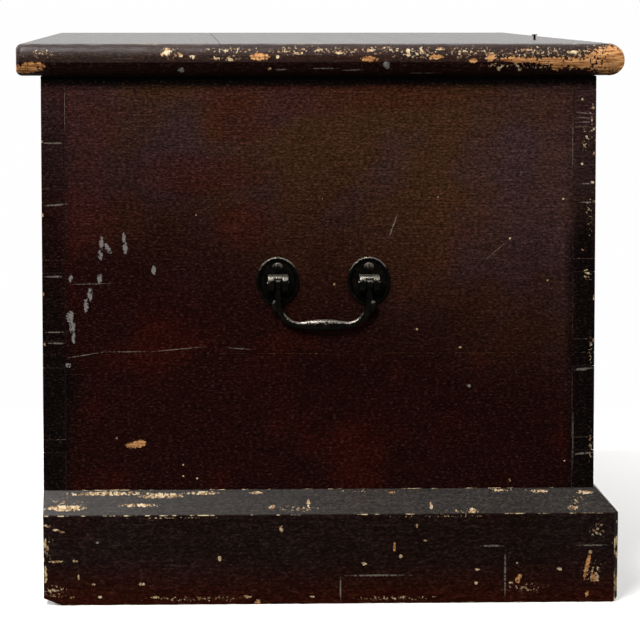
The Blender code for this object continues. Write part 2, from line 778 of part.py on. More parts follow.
def build():
    clear_scene()
    paint = finish("dark_brown_paint", "#3a211b", 0.45)
    bare = finish("bare_pine", "#b07a48", 0.7)
    iron = finish("black_iron", "#2a2724", 0.5, 0.8)
    lid_axis = axis_empty("lid_axis", HINGE_AXIS)
    build_carcass(paint)
    build_floor(bare)
    build_plinth(paint, bare)
    build_lid(paint, bare, lid_axis)
    build_nail(iron, lid_axis)
    for end, side in (("left", -1), ("right", 1)):
        build_hinge(end, side, iron, lid_axis)
        build_handle(end, side, iron)


build()
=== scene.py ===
import math
from functools import partial

import bmesh
import bpy
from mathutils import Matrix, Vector


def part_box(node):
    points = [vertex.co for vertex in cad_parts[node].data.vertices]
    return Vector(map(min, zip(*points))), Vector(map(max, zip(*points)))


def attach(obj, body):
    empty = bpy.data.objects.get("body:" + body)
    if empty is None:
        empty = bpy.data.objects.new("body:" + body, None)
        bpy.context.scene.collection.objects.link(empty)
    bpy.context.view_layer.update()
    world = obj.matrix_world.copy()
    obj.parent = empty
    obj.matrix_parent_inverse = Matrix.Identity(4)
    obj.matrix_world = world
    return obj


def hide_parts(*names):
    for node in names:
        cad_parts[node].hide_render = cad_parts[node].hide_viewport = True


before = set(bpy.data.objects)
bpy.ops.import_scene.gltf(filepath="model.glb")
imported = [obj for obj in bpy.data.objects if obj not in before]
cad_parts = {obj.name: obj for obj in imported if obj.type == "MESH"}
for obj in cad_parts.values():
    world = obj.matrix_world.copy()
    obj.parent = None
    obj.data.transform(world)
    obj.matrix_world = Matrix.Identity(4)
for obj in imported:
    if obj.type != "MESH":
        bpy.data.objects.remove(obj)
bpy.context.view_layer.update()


# The two ends of the carcass. Each is two pine boards glued edge to edge, with dovetail pins sawn along the
# front and back edges. Outside they are brushed with dark oil paint, worn along every joint; inside, bare.
MM = 0.001
end_low, end_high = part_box("left_end_upper_board")
LEFT = end_low.x
FRONT = end_low.y
BACK = end_high.y
RIM = end_high.z
JOINT = end_low.z
MIDDLE = (FRONT + BACK) / 2
HALF_DEPTH = (BACK - FRONT) / 2
PIN_DEPTH = 21 * MM
JOINT_ARRIS = 0.4 * MM
JOINT_BAND = 2 * MM
MARK_DEPTH = 60 * MM
TO_FRONT = Vector((0, -1, 0))
TO_RIGHT = Vector((1, 0, 0))
UP = Vector((0, 0, 1))
DOWN = -UP
SQUARE_ON = 0.97
MERGED = 0.005 * MM
FLAT_ANGLE = math.radians(1)
SHARP_ANGLE = math.radians(32)
SMOOTH_ANGLE = math.radians(40)
WALL_TONES = ("#1a0806", "#3f2719", "#3a2827", "#3c0f08")
END_FADE = (0.23, 0.50, -0.32)
DULL_SHEEN = (0.42, 0.62)
DULL_GLOSS = 0.012
ARRIS_GLOSS = 0.1
CLEAN_PINE = 0.45
PAINT_BLACK = "#090605"
GROUND_COAT = "#cbb795"
GROUND_GREY = "#84807c"
SCRATCH = "#857b70"
BLOOM = "#6d5850"
BARE_ORANGE = "#d29a64"
BARE_DARK = "#6e4122"
BARE_TAN = "#8c6a48"
INSIDE_DIRT = "#4a3526"


def hold(piece):
    """Takes one piece in hand: nothing else is selected."""
    bpy.ops.object.select_all(action="DESELECT")
    piece.select_set(True)
    bpy.context.view_layer.objects.active = piece


def copied(name, mesh):
    """A new piece with its own copy of a mesh, taken in hand."""
    piece = bpy.data.objects.new(name, mesh.copy())
    bpy.context.collection.objects.link(piece)
    hold(piece)
    return piece


def copy_of(node, *finishes):
    """A copy of a piece of the frame with its finishes, merged to one skin with its flat faces whole."""
    piece = copied("worn_" + node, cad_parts[node].data)
    piece.data.materials.clear()
    for finish in finishes:
        piece.data.materials.append(finish)
    bpy.ops.mesh.customdata_custom_splitnormals_clear()
    bpy.ops.object.mode_set(mode="EDIT")
    bpy.ops.mesh.select_all(action="SELECT")
    bpy.ops.mesh.remove_doubles(threshold=MERGED)
    bpy.ops.mesh.dissolve_limited(angle_limit=FLAT_ANGLE)
    bpy.ops.object.mode_set(mode="OBJECT")
    bpy.ops.object.shade_flat()
    return piece


def ease_edges(piece, width, segments, strip):
    """Rounds every sharp edge of a piece. The strip is the rounding's finish in its list, or -1 for none."""
    hold(piece)
    bevel = piece.modifiers.new("eased edges", "BEVEL")
    bevel.width = width
    bevel.segments = segments
    bevel.limit_method = "ANGLE"
    bevel.angle_limit = SHARP_ANGLE
    bevel.material = strip
    bpy.ops.object.modifier_apply(modifier=bevel.name)


def smooth_edges(piece):
    """Shades the roundings smooth and keeps the flats between them flat."""
    hold(piece)
    bpy.ops.object.shade_smooth_by_angle(angle=SMOOTH_ANGLE)
    flats = piece.modifiers.new("flat faces", "WEIGHTED_NORMAL")
    flats.keep_sharp = True
    bpy.ops.object.modifier_apply(modifier=flats.name)


def finish_faces(piece, choose):
    """Gives each face the finish that its middle and normal call for."""
    for face in piece.data.polygons:
        finish = choose(face.center, face.normal)
        if finish is not None:
            face.material_index = finish


def fit(piece, node, body):
    """Puts a finished piece in the place of the frame's own."""
    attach(piece, body)
    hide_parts(node)


def colour(code):
    """An sRGB hex colour as linear red, green, blue and alpha."""
    parts = [int(code[i : i + 2], 16) / 255 for i in (1, 3, 5)]
    return [p / 12.92 if p <= 0.04045 else ((p + 0.055) / 1.055) ** 2.4 for p in parts] + [1.0]


def plug(node, sockets):
    """Sets a node's sockets, or links them to what other nodes give."""
    for name, value in sockets.items():
        if isinstance(value, bpy.types.NodeSocket):
            node.id_data.links.new(value, node.inputs[name])
        else:
            node.inputs[name].default_value = value


def add_node(tree, kind, sockets, out=0, **settings):
    """Adds a node with its options and sockets, and gives one of its outputs, or all of them for None."""
    node = tree.nodes.new("ShaderNode" + kind)
    for name, value in settings.items():
        setattr(node, name, value)
    plug(node, sockets)
    return node.outputs if out is None else node.outputs[out]


def new_material(name):
    """An empty material, what adds a node to it, and its shader."""
    material = bpy.data.materials.new(name)
    material.use_nodes = True
    tree = material.node_tree
    return material, partial(add_node, tree), tree.nodes["Principled BSDF"]


def grain_sizes(grain, along, across):
    """How often a pattern repeats on each axis, when it runs along one of them."""
    return [1 / (along if axis == grain else across) for axis in "XYZ"]


def marks_mask(add, place, marks):
    """One mask for a set of marks, each an oval with its middle, half sizes and turn about each axis."""
    mask = None
    for middle, half, turn in marks:
        local = add("Mapping", {0: place, 1: middle, 2: turn, 3: half}, vector_type="TEXTURE")
        oval = add("TexGradient", {0: local}, 1, gradient_type="SPHERICAL")
        if mask is None:
            mask = oval
        else:
            mask = add("Math", {0: mask, 1: oval}, operation="MAXIMUM")
    return mask


# Old oil paint, brushed along the grain over a pale ground coat. It dries flat and dark, fades and greys in
# the light, wrinkles finely all over, and chips off to the cream ground and the orange pine.
def aged_paint(name, grain, tones, fade, wear, marks, sheen, gloss):
    material, add, shader = new_material(name)
    dark, faded, grey, red = tones
    place = add("TexCoord", {}, "Object")
    axes = add("SeparateXYZ", {0: place}, None)
    blotch = add("TexNoise", {"Vector": place, "Scale": 1 / (90 * MM), "Detail": 3.0})
    cloud = add("TexNoise", {"Vector": place, "Scale": 1 / (75 * MM), "Detail": 4.0})
    strokes = add("Mapping", {0: place, 3: grain_sizes(grain, 34 * MM, 1.5 * MM)})
    brush = add("TexNoise", {"Vector": strokes, "Scale": 1.0, "Detail": 4.0})
    wrinkle = add("Mapping", {0: place, 3: grain_sizes(grain, 3.6 * MM, 1.6 * MM)})
    wrinkle = add("TexNoise", {"Vector": wrinkle, "Scale": 1.0, "Detail": 5.0, "Roughness": 0.75})

    low, high, lean = fade
    drift = 0.25 * (high - low)
    lifted = add("Math", {0: axes["Y"], 1: lean, 2: axes["Z"]}, operation="MULTIPLY_ADD")
    lifted = add("Math", {0: blotch, 1: 2 * drift, 2: lifted}, operation="MULTIPLY_ADD")
    pale = add("MapRange", {0: lifted, 1: low + drift, 2: high + drift}, interpolation_type="SMOOTHSTEP")
    greyed = cloud
    if grain == "Y":
        away = add("Math", {0: axes["Y"], 1: 30 * MM}, operation="ADD")
        away = add("Math", {0: away}, operation="ABSOLUTE")
        greyed = add("Math", {0: away, 1: 1.0, 2: cloud}, operation="MULTIPLY_ADD")
        greyed = add("Math", {0: greyed, 1: 0.13}, operation="SUBTRACT")
    greyed = add("MapRange", {0: greyed, 1: 0.42, 2: 0.62})
    light = add("Mix", {0: greyed, 6: colour(faded), 7: colour(grey)}, 2, data_type="RGBA")
    paint = add("Mix", {0: pale, 6: colour(dark), 7: light}, 2, data_type="RGBA")
    ruddy = add("MapRange", {0: blotch, 1: 0.54, 2: 0.68, 3: 0.0, 4: 0.3})
    paint = add("Mix", {0: ruddy, 6: paint, 7: colour(red)}, 2, data_type="RGBA")
    # These darkenings are partly real soaking, soot and red tints, and partly painted shade just under the
    # lid's overhang.
    worn, soaked_and_shaded = wear(add, axes)
    stains_and_shade = [(soaked_and_shaded, PAINT_BLACK)] if soaked_and_shaded is not None else []
    for kind, stain_and_shade, most in (("ruddy", red, 0.3), ("smoked_and_shaded", PAINT_BLACK, 0.92)):
        if kind in marks:
            mask = marks_mask(add, place, marks[kind])
            mask = add("Math", {0: cloud, 1: 0.7, 2: mask}, operation="MULTIPLY_ADD")
            mask = add("MapRange", {0: mask, 1: 0.45, 2: 0.95, 3: 0.0, 4: most})
            stains_and_shade.append((mask, stain_and_shade))
    for mask, stain_and_shade in stains_and_shade:
        paint = add("Mix", {0: mask, 6: paint, 7: colour(stain_and_shade)}, 2, data_type="RGBA")
    bloom = add("MapRange", {0: wrinkle, 1: 0.56, 2: 0.78, 3: 0.0, 4: 0.3})
    for pattern, least, most in ((brush, 0.75, 1.3), (wrinkle, 0.45, 2.2)):
        shade = add("MapRange", {0: pattern, 1: 0.42, 2: 0.7, 3: least, 4: most})
        paint = add("Mix", {0: 1.0, 6: paint, 7: shade}, 2, data_type="RGBA", blend_type="MULTIPLY")
    paint = add("Mix", {0: bloom, 6: paint, 7: colour(BLOOM)}, 2, data_type="RGBA")

    tone = add("TexNoise", {"Vector": place, "Scale": 1 / (4 * MM), "Detail": 3.0})
    tone = add("MapRange", {0: tone, 1: 0.4, 2: 0.6})
    ground = add("Mix", {0: tone, 6: colour(BARE_TAN), 7: colour(GROUND_COAT)}, 2, data_type="RGBA")
    lines = add("Mapping", {0: place, 3: (1 / (60 * MM), 1 / (26 * MM), 1 / (1.9 * MM))})
    lines = add("TexNoise", {"Vector": lines, "Scale": 1.0, "Detail": 5.0, "Roughness": 0.65})
    lines = add("MapRange", {0: lines, 1: 0.36, 2: 0.62})
    pine = add("Mix", {0: lines, 6: colour(BARE_ORANGE), 7: colour(BARE_DARK)}, 2, data_type="RGBA")

    flaw = add("TexNoise", {"Vector": place, "Scale": 1 / (4 * MM), "Detail": 6.0, "Roughness": 0.75})
    chance = add("Math", {0: worn, 1: 0.3, 2: flaw}, operation="MULTIPLY_ADD")
    chance = add("Math", {0: cloud, 1: 0.35, 2: chance}, operation="MULTIPLY_ADD")
    chips = add("MapRange", {0: chance, 1: 1.04, 2: 1.06})
    deep = add("MapRange", {0: chance, 1: 1.1, 2: 1.13})
    face = add("Mix", {0: chips, 6: paint, 7: ground}, 2, data_type="RGBA")
    face = add("Mix", {0: deep, 6: face, 7: pine}, 2, data_type="RGBA")
    gone = chips
    ragged = add("TexNoise", {"Vector": place, "Scale": 1 / (2.6 * MM), "Detail": 4.0, "Roughness": 0.65})
    spread = add("MapRange", {0: ragged, 1: 0.3, 2: 0.7, 3: 0.0, 4: 2.0})
    under = {
        "primed": (colour(GROUND_GREY), 0.36, 0.5, 0.68),
        "flaked": (ground, 0.42, 0.5, 1.0),
        "crazed": (ground, 1.06, 1.14, 0.8),
        "bare": (pine, 0.3, 0.38, 1.0),
        "scratched": (colour(SCRATCH), 0.2, 0.7, 0.55),
    }
    for kind, (shown, edge, full, most) in under.items():
        if kind in marks:
            mask = marks_mask(add, place, marks[kind])
            mask = add("Math", {0: mask, 1: spread}, operation="MULTIPLY")
            mask = add("MapRange", {0: mask, 1: edge, 2: full, 3: 0.0, 4: most})
            face = add("Mix", {0: mask, 6: face, 7: shown}, 2, data_type="RGBA")
            gone = add("Math", {0: gone, 1: mask}, operation="MAXIMUM")

    rough = add("MapRange", {0: wrinkle, 1: 0.3, 2: 0.7, 3: sheen[0], 4: sheen[1]})
    rough = add("Mix", {0: gone, 2: rough, 3: 0.8}, data_type="FLOAT")
    relief = add("Math", {0: brush, 1: 0.6, 2: wrinkle}, operation="MULTIPLY_ADD")
    relief = add("Math", {0: relief, 1: gone}, operation="SUBTRACT")
    bump = add("Bump", {"Strength": 0.6, "Distance": 0.3 * MM, "Height": relief})
    plug(shader, {"Base Color": face, "Roughness": rough, "Normal": bump, "Specular IOR Level": gloss})
    return material


# Bare old pine, planed and left unpainted. It darkens to a warm orange brown, with soft pale early wood and
# narrow dark late wood along the board, and grey handling dirt.
def bare_pine(name, grain, dirt_from, grime):
    material, add, shader = new_material(name)
    place = add("TexCoord", {}, "Object")
    sway = add("Mapping", {0: place, 3: grain_sizes(grain, 420 * MM, 60 * MM)})
    sway = add("TexNoise", {"Vector": sway, "Scale": 1.0, "Detail": 1.0}, 1)
    bent = add("VectorMath", {0: sway, 1: [22 * MM] * 3, 2: place}, operation="MULTIPLY_ADD")
    rings = add("Mapping", {0: bent, 3: grain_sizes(grain, 500 * MM, 5.5 * MM)})
    rings = add("TexNoise", {"Vector": rings, "Scale": 1.0, "Detail": 2.0})
    fibre = add("Mapping", {0: place, 3: grain_sizes(grain, 40 * MM, 0.8 * MM)})
    fibre = add("TexNoise", {"Vector": fibre, "Scale": 1.0, "Detail": 3.0})
    dirt = add("TexNoise", {"Vector": place, "Scale": 1 / (130 * MM), "Detail": 4.0})
    late = add("MapRange", {0: rings, 1: 0.47, 2: 0.62})
    wood = add("Mix", {0: late, 6: colour("#b98a58"), 7: colour("#8a5227")}, 2, data_type="RGBA")
    fine = add("MapRange", {0: fibre, 1: 0.3, 2: 0.7, 3: 0.8, 4: 1.12})
    wood = add("Mix", {0: 1.0, 6: wood, 7: fine}, 2, data_type="RGBA", blend_type="MULTIPLY")
    soiled = add("MapRange", {0: dirt, 1: dirt_from, 2: dirt_from + 0.3, 3: 0.0, 4: 0.95 - dirt_from})
    wood = add("Mix", {0: soiled, 6: wood, 7: colour(grime)}, 2, data_type="RGBA")
    rough = add("MapRange", {0: fibre, 1: 0.3, 2: 0.7, 3: 0.6, 4: 0.82})
    relief = add("Math", {0: late, 1: 0.6, 2: fibre}, operation="MULTIPLY_ADD")
    bump = add("Bump", {"Strength": 0.4, "Distance": 0.2 * MM, "Height": relief})
    plug(shader, {"Base Color": wood, "Roughness": rough, "Normal": bump})
    return material


# The arrises, where hands and knocks have rubbed the paint: a broken line of cream ground coat and pine
# between stretches where the dark paint still holds.
def rubbed_arris(name, held):
    material, add, shader = new_material(name)
    place = add("TexCoord", {}, "Object")
    stretch = add("TexNoise", {"Vector": place, "Scale": 1 / (16 * MM), "Detail": 6.0, "Roughness": 0.65})
    rubbed = add("MapRange", {0: stretch, 1: held, 2: held + 0.06})
    tone = add("TexNoise", {"Vector": place, "Scale": 1 / (8 * MM), "Detail": 2.0})
    tone = add("MapRange", {0: tone, 1: 0.35, 2: 0.65})
    under = add("Mix", {0: tone, 6: colour(BARE_TAN), 7: colour(GROUND_COAT)}, 2, data_type="RGBA")
    edge = add("Mix", {0: rubbed, 6: colour("#170c0a"), 7: under}, 2, data_type="RGBA")
    rough = add("MapRange", {0: rubbed, 3: 0.5, 4: 0.8})
    bump = add("Bump", {"Strength": 0.5, "Distance": 0.3 * MM, "Height": stretch})
    plug(shader, {"Base Color": edge, "Roughness": rough, "Normal": bump, "Specular IOR Level": ARRIS_GLOSS})
    return material


def end_wear(add, axes):
    """Ends chip near the corners, with soot on the sawn joints there; painted shade darkens the top under the
    lid.
    """
    away = add("Math", {0: axes["Y"], 1: MIDDLE}, operation="SUBTRACT")
    away = add("Math", {0: away}, operation="ABSOLUTE")
    worn = add("MapRange", {0: away, 1: HALF_DEPTH - 9 * MM, 2: HALF_DEPTH, 3: 0.0, 4: 0.5})
    band = add("MapRange", {0: away, 1: HALF_DEPTH - PIN_DEPTH - 9 * MM, 2: HALF_DEPTH - PIN_DEPTH + 5 * MM})
    depth = add("MapRange", {0: axes["Z"], 1: RIM - 210 * MM, 2: RIM, 3: 0.88, 4: 0.2})
    band = add("Math", {0: band, 1: depth}, operation="MULTIPLY")
    # Painted shade: the top of each end goes near black just below the lid's overhang, where its shadow
    # falls.
    painted_lid_shade = add("MapRange", {0: axes["Z"], 1: RIM - 15 * MM, 2: RIM - 7 * MM})
    painted_lid_shade = add("Math", {0: painted_lid_shade, 1: 0.96}, operation="MULTIPLY")
    return worn, add("Math", {0: band, 1: painted_lid_shade}, operation="MAXIMUM")


def ovals(corner, along, across, marks):
    """Places marks on a face. Each has its millimetres from a corner along and across the face, half its
    length, half its width, and the degrees it is turned by, if it is."""
    placed = []
    for far, deep, wide, tall, *turn in marks:
        middle = Vector(corner) + MM * (far * along + deep * across)
        half = [wide * MM if a else tall * MM if b else MARK_DEPTH for a, b in zip(along, across)]
        turns = [0.0 if a or b else math.radians(sum(turn)) for a, b in zip(along, across)]
        placed.append((middle, half, turns))
    return placed


END_MARKS = {
    "ruddy": [
        (188, 42, 50, 34), (150, 92, 80, 26), (236, 22, 110, 24), (330, 20, 110, 20), (190, 140, 40, 34),
    ],
    "smoked_and_shaded": [
        (12, 292, 34, 40), (6, 345, 30, 60), (512, 180, 22, 70), (514, 250, 24, 70), (516, 340, 26, 90),
        # Painted shade: this long dark band sits just under the lid's overhang.
        (261, 3, 420, 9),
    ],
    "primed": [
        (56, 156, 3.2, 10), (55, 168, 3.4, 7.5), (61.5, 161, 3.4, 9, -30), (77, 152, 2.8, 7.5),
        (78, 161, 3.6, 10), (105, 182, 3.2, 7), (27, 190, 2.8, 6), (54, 190, 4, 7), (45, 204, 3.6, 10.5),
        (41, 215, 3.4, 10), (26, 226, 5.8, 9), (28, 236, 4.4, 10), (29, 246, 2.8, 9), (24, 272, 3.8, 3.4),
        (403, 293, 3, 2.6),
    ],
    "bare": [(86, 348, 13, 4.6, -6), (92, 346, 7, 5)],
    "flaked": [
        (394, 256, 2.4, 2), (69, 341, 2.4, 2.2), (514, 185, 4.5, 4), (519, 100, 3, 2), (520, 118, 2.4, 2),
        (519, 30, 2, 3), (520, 50, 1.6, 4), (520, 73, 1.6, 3), (521, 210, 1.6, 4), (521, 250, 1.6, 3),
        (1, 60, 1.4, 4), (1, 130, 1.4, 3), (1, 205, 1.4, 4), (2, 252, 2, 2.4), (509, 22, 2, 2),
        (509, 83, 1.9, 1.9), (491, 116, 2, 1.9), (441, 153, 1.7, 1.7), (510, 164, 1.9, 1.9),
        (477, 193, 1.9, 1.9), (264, 115, 1.8, 1.4), (373, 114, 1.5, 2), (145, 130, 1.4, 1.8),
        (275, 196, 1.7, 1.9), (132, 367, 1.5, 1.5), (132, 378, 1.7, 1.2, 40), (145, 380, 1.5, 1.3),
        (494, 365, 1.5, 1.5), (442, 383, 2.6, 1.4, 60), (353, 239, 1.8, 1.8),
    ],
    "crazed": [
        (518, 40, 7, 50), (512, 60, 12, 40), (516, 130, 8, 60), (514, 190, 12, 16), (518, 260, 7, 60),
        (519, 350, 7, 60),
    ],
    "scratched": [
        (12, 62.5, 14, 1.1), (13, 120.5, 15, 1.3, -4), (11, 188, 13, 1.3), (12, 240.5, 13, 1),
        (12, 251, 13, 1.2), (46, 195, 26, 0.6, -1), (22, 30, 0.4, 30), (41, 262, 26, 0.7, -9),
        (80, 259.3, 30, 0.6), (128, 257, 36, 0.6, -5), (185, 256.7, 16, 0.6, 4), (331, 139.5, 1.1, 18, 20),
        (432, 161, 13, 0.4, -40), (424, 168, 12, 0.4, -40), (510, 48, 14, 1.4), (511, 35, 12, 0.9, 4),
        (511, 39.5, 12, 0.9, 2), (511, 43.5, 12, 0.9, -2), (500, 65, 0.6, 38), (513, 119, 9, 1.1),
        (513, 101.5, 7, 1), (512, 277.5, 14, 1.9, -3), (512, 358, 14, 1.5, -4), (502, 345, 0.6, 40),
    ],
}
RIGHT_END_MARKS = {
    "ruddy": [(300, 60, 90, 40), (160, 200, 80, 50)],
    # The last mark here is painted shade: a long dark band just under the lid's overhang.
    "smoked_and_shaded": [(14, 300, 30, 60), (512, 250, 26, 120), (261, 3, 420, 9)],
    "primed": [(372, 210, 2.4, 8, 10), (380, 222, 3, 5), (150, 96, 2, 6)],
    "bare": [(430, 366, 9, 3.4, -6), (36, 120, 4, 3)],
    "crazed": [(518, 120, 7, 90), (518, 300, 7, 80), (3, 150, 6, 90), (3, 320, 6, 80)],
    "flaked": [
        (520, 60, 1.6, 5), (521, 170, 1.8, 4), (520, 290, 2, 6), (2, 90, 1.6, 5), (2, 210, 2, 4),
        (2, 330, 2, 6), (210, 330, 2, 1.6), (330, 180, 1.8, 1.8), (120, 270, 2, 1.6), (460, 100, 1.6, 2),
    ],
    "scratched": [
        (12, 120, 14, 1.2), (12, 251, 13, 1.1), (511, 62, 13, 1.3), (511, 188, 13, 1.2, 2),
        (180, 140, 0.7, 22, 24), (300, 300, 40, 0.6, 3), (410, 120, 16, 0.6, -30), (90, 360, 24, 0.6, 8),
    ],
}
end_marks = {
    kind: ovals((LEFT, BACK, RIM), TO_FRONT, DOWN, END_MARKS[kind])
    + ovals((-LEFT, BACK, RIM), TO_FRONT, DOWN, places)
    for kind, places in RIGHT_END_MARKS.items()
}
end_paint = aged_paint(
    "brushed_oil_paint_ends", "Y", WALL_TONES, END_FADE, end_wear, end_marks, DULL_SHEEN, DULL_GLOSS
)
joint_arris = rubbed_arris("rubbed_joint_arris", 0.7)
end_inside = bare_pine("bare_pine_ends", "Y", CLEAN_PINE, INSIDE_DIRT)

end_boards = []
for end, side in (("left", -1), ("right", 1)):
    for level in ("upper", "lower"):
        node = f"{end}_end_{level}_board"
        board = copy_of(node, end_paint, joint_arris, end_inside)
        end_boards.append(board)
        ease_edges(board, JOINT_ARRIS, 2, 1)
        smooth_edges(board)

        def end_finish(middle, normal):
            if side * normal.x < -SQUARE_ON or abs(normal.z) > SQUARE_ON:
                return 2
            return 0 if abs(middle.z - JOINT) < JOINT_BAND else None

        finish_faces(board, end_finish)
        fit(board, node, "carcass")


# The front and the back. Each is two pine boards with dovetail tails that take the pins of the ends, so their
# sawn ends show on the ends of the box, under the same paint. They are painted outside like the ends.
LONG_FADE = (0.20, 0.50, 0.0)


def long_wear(add, axes):
    """Long boards wear most near the two corners."""
    away = add("Math", {0: axes["X"]}, operation="ABSOLUTE")
    worn = add("MapRange", {0: away, 1: -LEFT - 40 * MM, 2: -LEFT, 3: 0.1, 4: 0.6})
    return worn, None


FRONT_MARKS = {
    "primed": [(212, 150, 2.4, 9, 8), (221, 166, 3, 6), (806, 260, 3, 5)],
    "bare": [(640, 372, 12, 3.6, 4), (330, 20, 16, 5), (560, 14, 22, 6), (1020, 310, 5, 4)],
    "flaked": [
        (3, 80, 2, 8), (4, 190, 2.4, 6), (3, 310, 2, 9), (1047, 60, 2, 7), (1046, 230, 2.4, 8),
        (545, 10, 30, 4), (410, 300, 2, 2), (730, 120, 2, 2), (150, 345, 3, 2), (890, 372, 5, 2),
        (480, 210, 1.8, 2.4), (960, 160, 2, 1.6), (90, 40, 2, 2), (270, 280, 1.8, 1.8),
    ],
    "crazed": [(525, 16, 90, 14), (20, 330, 30, 60), (1030, 340, 30, 60)],
    "scratched": [
        (300, 110, 60, 0.6, 5), (700, 220, 0.7, 34, 18), (820, 90, 46, 0.6, -9), (500, 320, 80, 0.6, 2),
        (120, 240, 0.7, 22, -24), (940, 300, 26, 0.7, 14), (600, 60, 0.7, 12, 32),
    ],
}
BACK_MARKS = {
    "primed": [(700, 120, 3, 9), (712, 136, 3, 7, 12)],
    "bare": [(420, 300, 10, 4), (900, 60, 6, 5)],
    "flaked": [
        (3, 120, 2, 8), (4, 290, 3, 7), (1046, 90, 2, 8), (1047, 260, 3, 9), (260, 90, 2, 2),
        (620, 210, 2, 2), (800, 330, 3, 2), (130, 180, 2, 2), (940, 200, 2, 3), (480, 30, 9, 2),
    ],
    "crazed": [(12, 330, 24, 70), (1036, 320, 24, 80), (520, 380, 200, 8)],
    "scratched": [
        (240, 200, 70, 0.6, 4), (560, 130, 0.7, 26, 20), (760, 250, 60, 0.6, -8), (380, 340, 90, 0.6, 2),
        (880, 140, 24, 0.7, 30),
    ],
}
wall_marks = {
    kind: ovals((LEFT, FRONT, RIM), TO_RIGHT, DOWN, places)
    + ovals((LEFT, BACK, RIM), TO_RIGHT, DOWN, BACK_MARKS[kind])
    for kind, places in FRONT_MARKS.items()
}
long_paint = aged_paint(
    "brushed_oil_paint_long_sides", "X", WALL_TONES, LONG_FADE, long_wear, wall_marks, DULL_SHEEN, DULL_GLOSS
)
for board in end_boards:
    board.data.materials.append(long_paint)
    finish_faces(board, lambda middle, normal: 3 if abs(normal.y) > SQUARE_ON else None)
long_inside = bare_pine("bare_pine_long_sides", "X", CLEAN_PINE, INSIDE_DIRT)
for wall, side in (("front", -1), ("back", 1)):
    for level in ("upper", "lower"):
        node = f"{wall}_{level}_board"
        board = copy_of(node, long_paint, joint_arris, long_inside, end_paint)
        ease_edges(board, JOINT_ARRIS, 2, 1)
        smooth_edges(board)

        def wall_finish(middle, normal):
            if side * normal.y < -SQUARE_ON or abs(normal.z) > SQUARE_ON:
                return 2
            if abs(normal.x) > SQUARE_ON:
                return 3
            return 0 if abs(middle.z - JOINT) < JOINT_BAND else None

        finish_faces(board, wall_finish)
        fit(board, node, "carcass")


# The floor of the box: five wide boards that run front to back, nailed up under the carcass and left bare.
# Their sawn ends show at the back, black with the dust and damp of the floor.
FLOOR_GRIME = "#241a14"
FLOOR_ARRIS = 1.0 * MM
rail_pine = bare_pine("grimy_pine_rail", "X", 0.02, FLOOR_GRIME)
floor_pine = bare_pine("bare_pine_floor", "Y", CLEAN_PINE, INSIDE_DIRT)
for number in range(1, 6):
    node = f"floor_board_{number}"
    board = copy_of(node, floor_pine, rail_pine)
    ease_edges(board, FLOOR_ARRIS, 2, -1)
    smooth_edges(board)
    finish_faces(board, lambda middle, normal: 1 if normal.y > 0.3 or normal.z < -0.9 else 0)
    fit(board, node, "carcass")


# The plinth: a front and two ends with chamfered tops, mitred at the front corners and nailed on through
# their faces, with a plain rail behind and a glue block in each corner. Feet and brooms have worn its edges.
plinth_low, plinth_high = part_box("plinth_left_end")
PLINTH_ARRIS = 1.5 * MM
PLINTH_LENGTH = 540
PLINTH_TONES = ("#2c0d05", "#180e0b", "#1a1110", "#230b07")
# Painted reflection: the chamfer's tones are greyer and lighter than the plinth's, for the sheen of the light
# above.
PAINTED_SHEEN_CHAMFER_TONES = ("#241f1c", "#292522", "#2f2c29", "#2a1f19")
CORNER_WORN = 1.6 * MM
FOOT_WORN = 4.5 * MM
FOOT_BAND = 50 * MM
KNOCK = 0.7 * MM
KNOCK_SIZE = 9 * MM
PLINTH_CUTS = 70
PLINTH_FADE = (-0.01, 0.05, 0.0)
CHAMFER_FADE = (0.0, 0.2, 0.0)
CHAMFER_SHEEN = (0.22, 0.55)
CHAMFER_GLOSS = 0.14
HEEL_CUT = (0, BACK - 17 * MM, 0)
HEEL_SLOPE = (0, 0.4, -1)


def pick(kind, wanted):
    """Selects the edges, faces or points of the piece in edit mode that are wanted, and nothing else."""
    bpy.ops.mesh.select_mode(type={"verts": "VERT", "edges": "EDGE", "faces": "FACE"}[kind])
    bpy.ops.mesh.select_all(action="DESELECT")
    mesh = bmesh.from_edit_mesh(bpy.context.edit_object.data)
    for item in getattr(mesh, kind):
        item.select_set(wanted(item))
    mesh.select_flush_mode()
    bmesh.update_edit_mesh(bpy.context.edit_object.data)


def saw_off(place, facing):
    """Saws off what lies beyond a plane from the piece in edit mode, and closes the cut."""
    bpy.ops.mesh.select_all(action="SELECT")
    bpy.ops.mesh.bisect(plane_co=place, plane_no=facing, use_fill=True, clear_outer=True)


def runs(edge, axis):
    """Whether an edge runs along an axis."""
    step = (edge.verts[1].co - edge.verts[0].co).normalized()
    return abs(step[axis]) > 0.99


def knock_about(piece, depth, size, group):
    """Dents a piece unevenly where its group of points says, by up to the depth over patches of the size."""
    hold(piece)
    lumps = bpy.data.textures.new("knocks", "CLOUDS")
    lumps.noise_scale = size
    dents = piece.modifiers.new("knocks", "DISPLACE")
    dents.texture = lumps
    dents.texture_coords = "LOCAL"
    dents.strength = 2 * depth
    dents.mid_level = 0.75
    dents.vertex_group = group
    bpy.ops.object.modifier_apply(modifier=dents.name)


def plinth_wear(add, axes):
    """The plinth chips along its foot and at its corners."""
    foot = add("MapRange", {0: axes["Z"], 1: 34 * MM, 2: 0.0, 3: 0.1, 4: 0.42})
    out = add("Math", {0: axes["Y"], 1: MIDDLE}, operation="SUBTRACT")
    out = add("Math", {0: out}, operation="ABSOLUTE")
    corner = add("MapRange", {0: out, 1: HALF_DEPTH - 14 * MM, 2: HALF_DEPTH + 14 * MM, 3: 0.0, 4: 0.5})
    return add("Math", {0: foot, 1: corner}, operation="MAXIMUM"), None


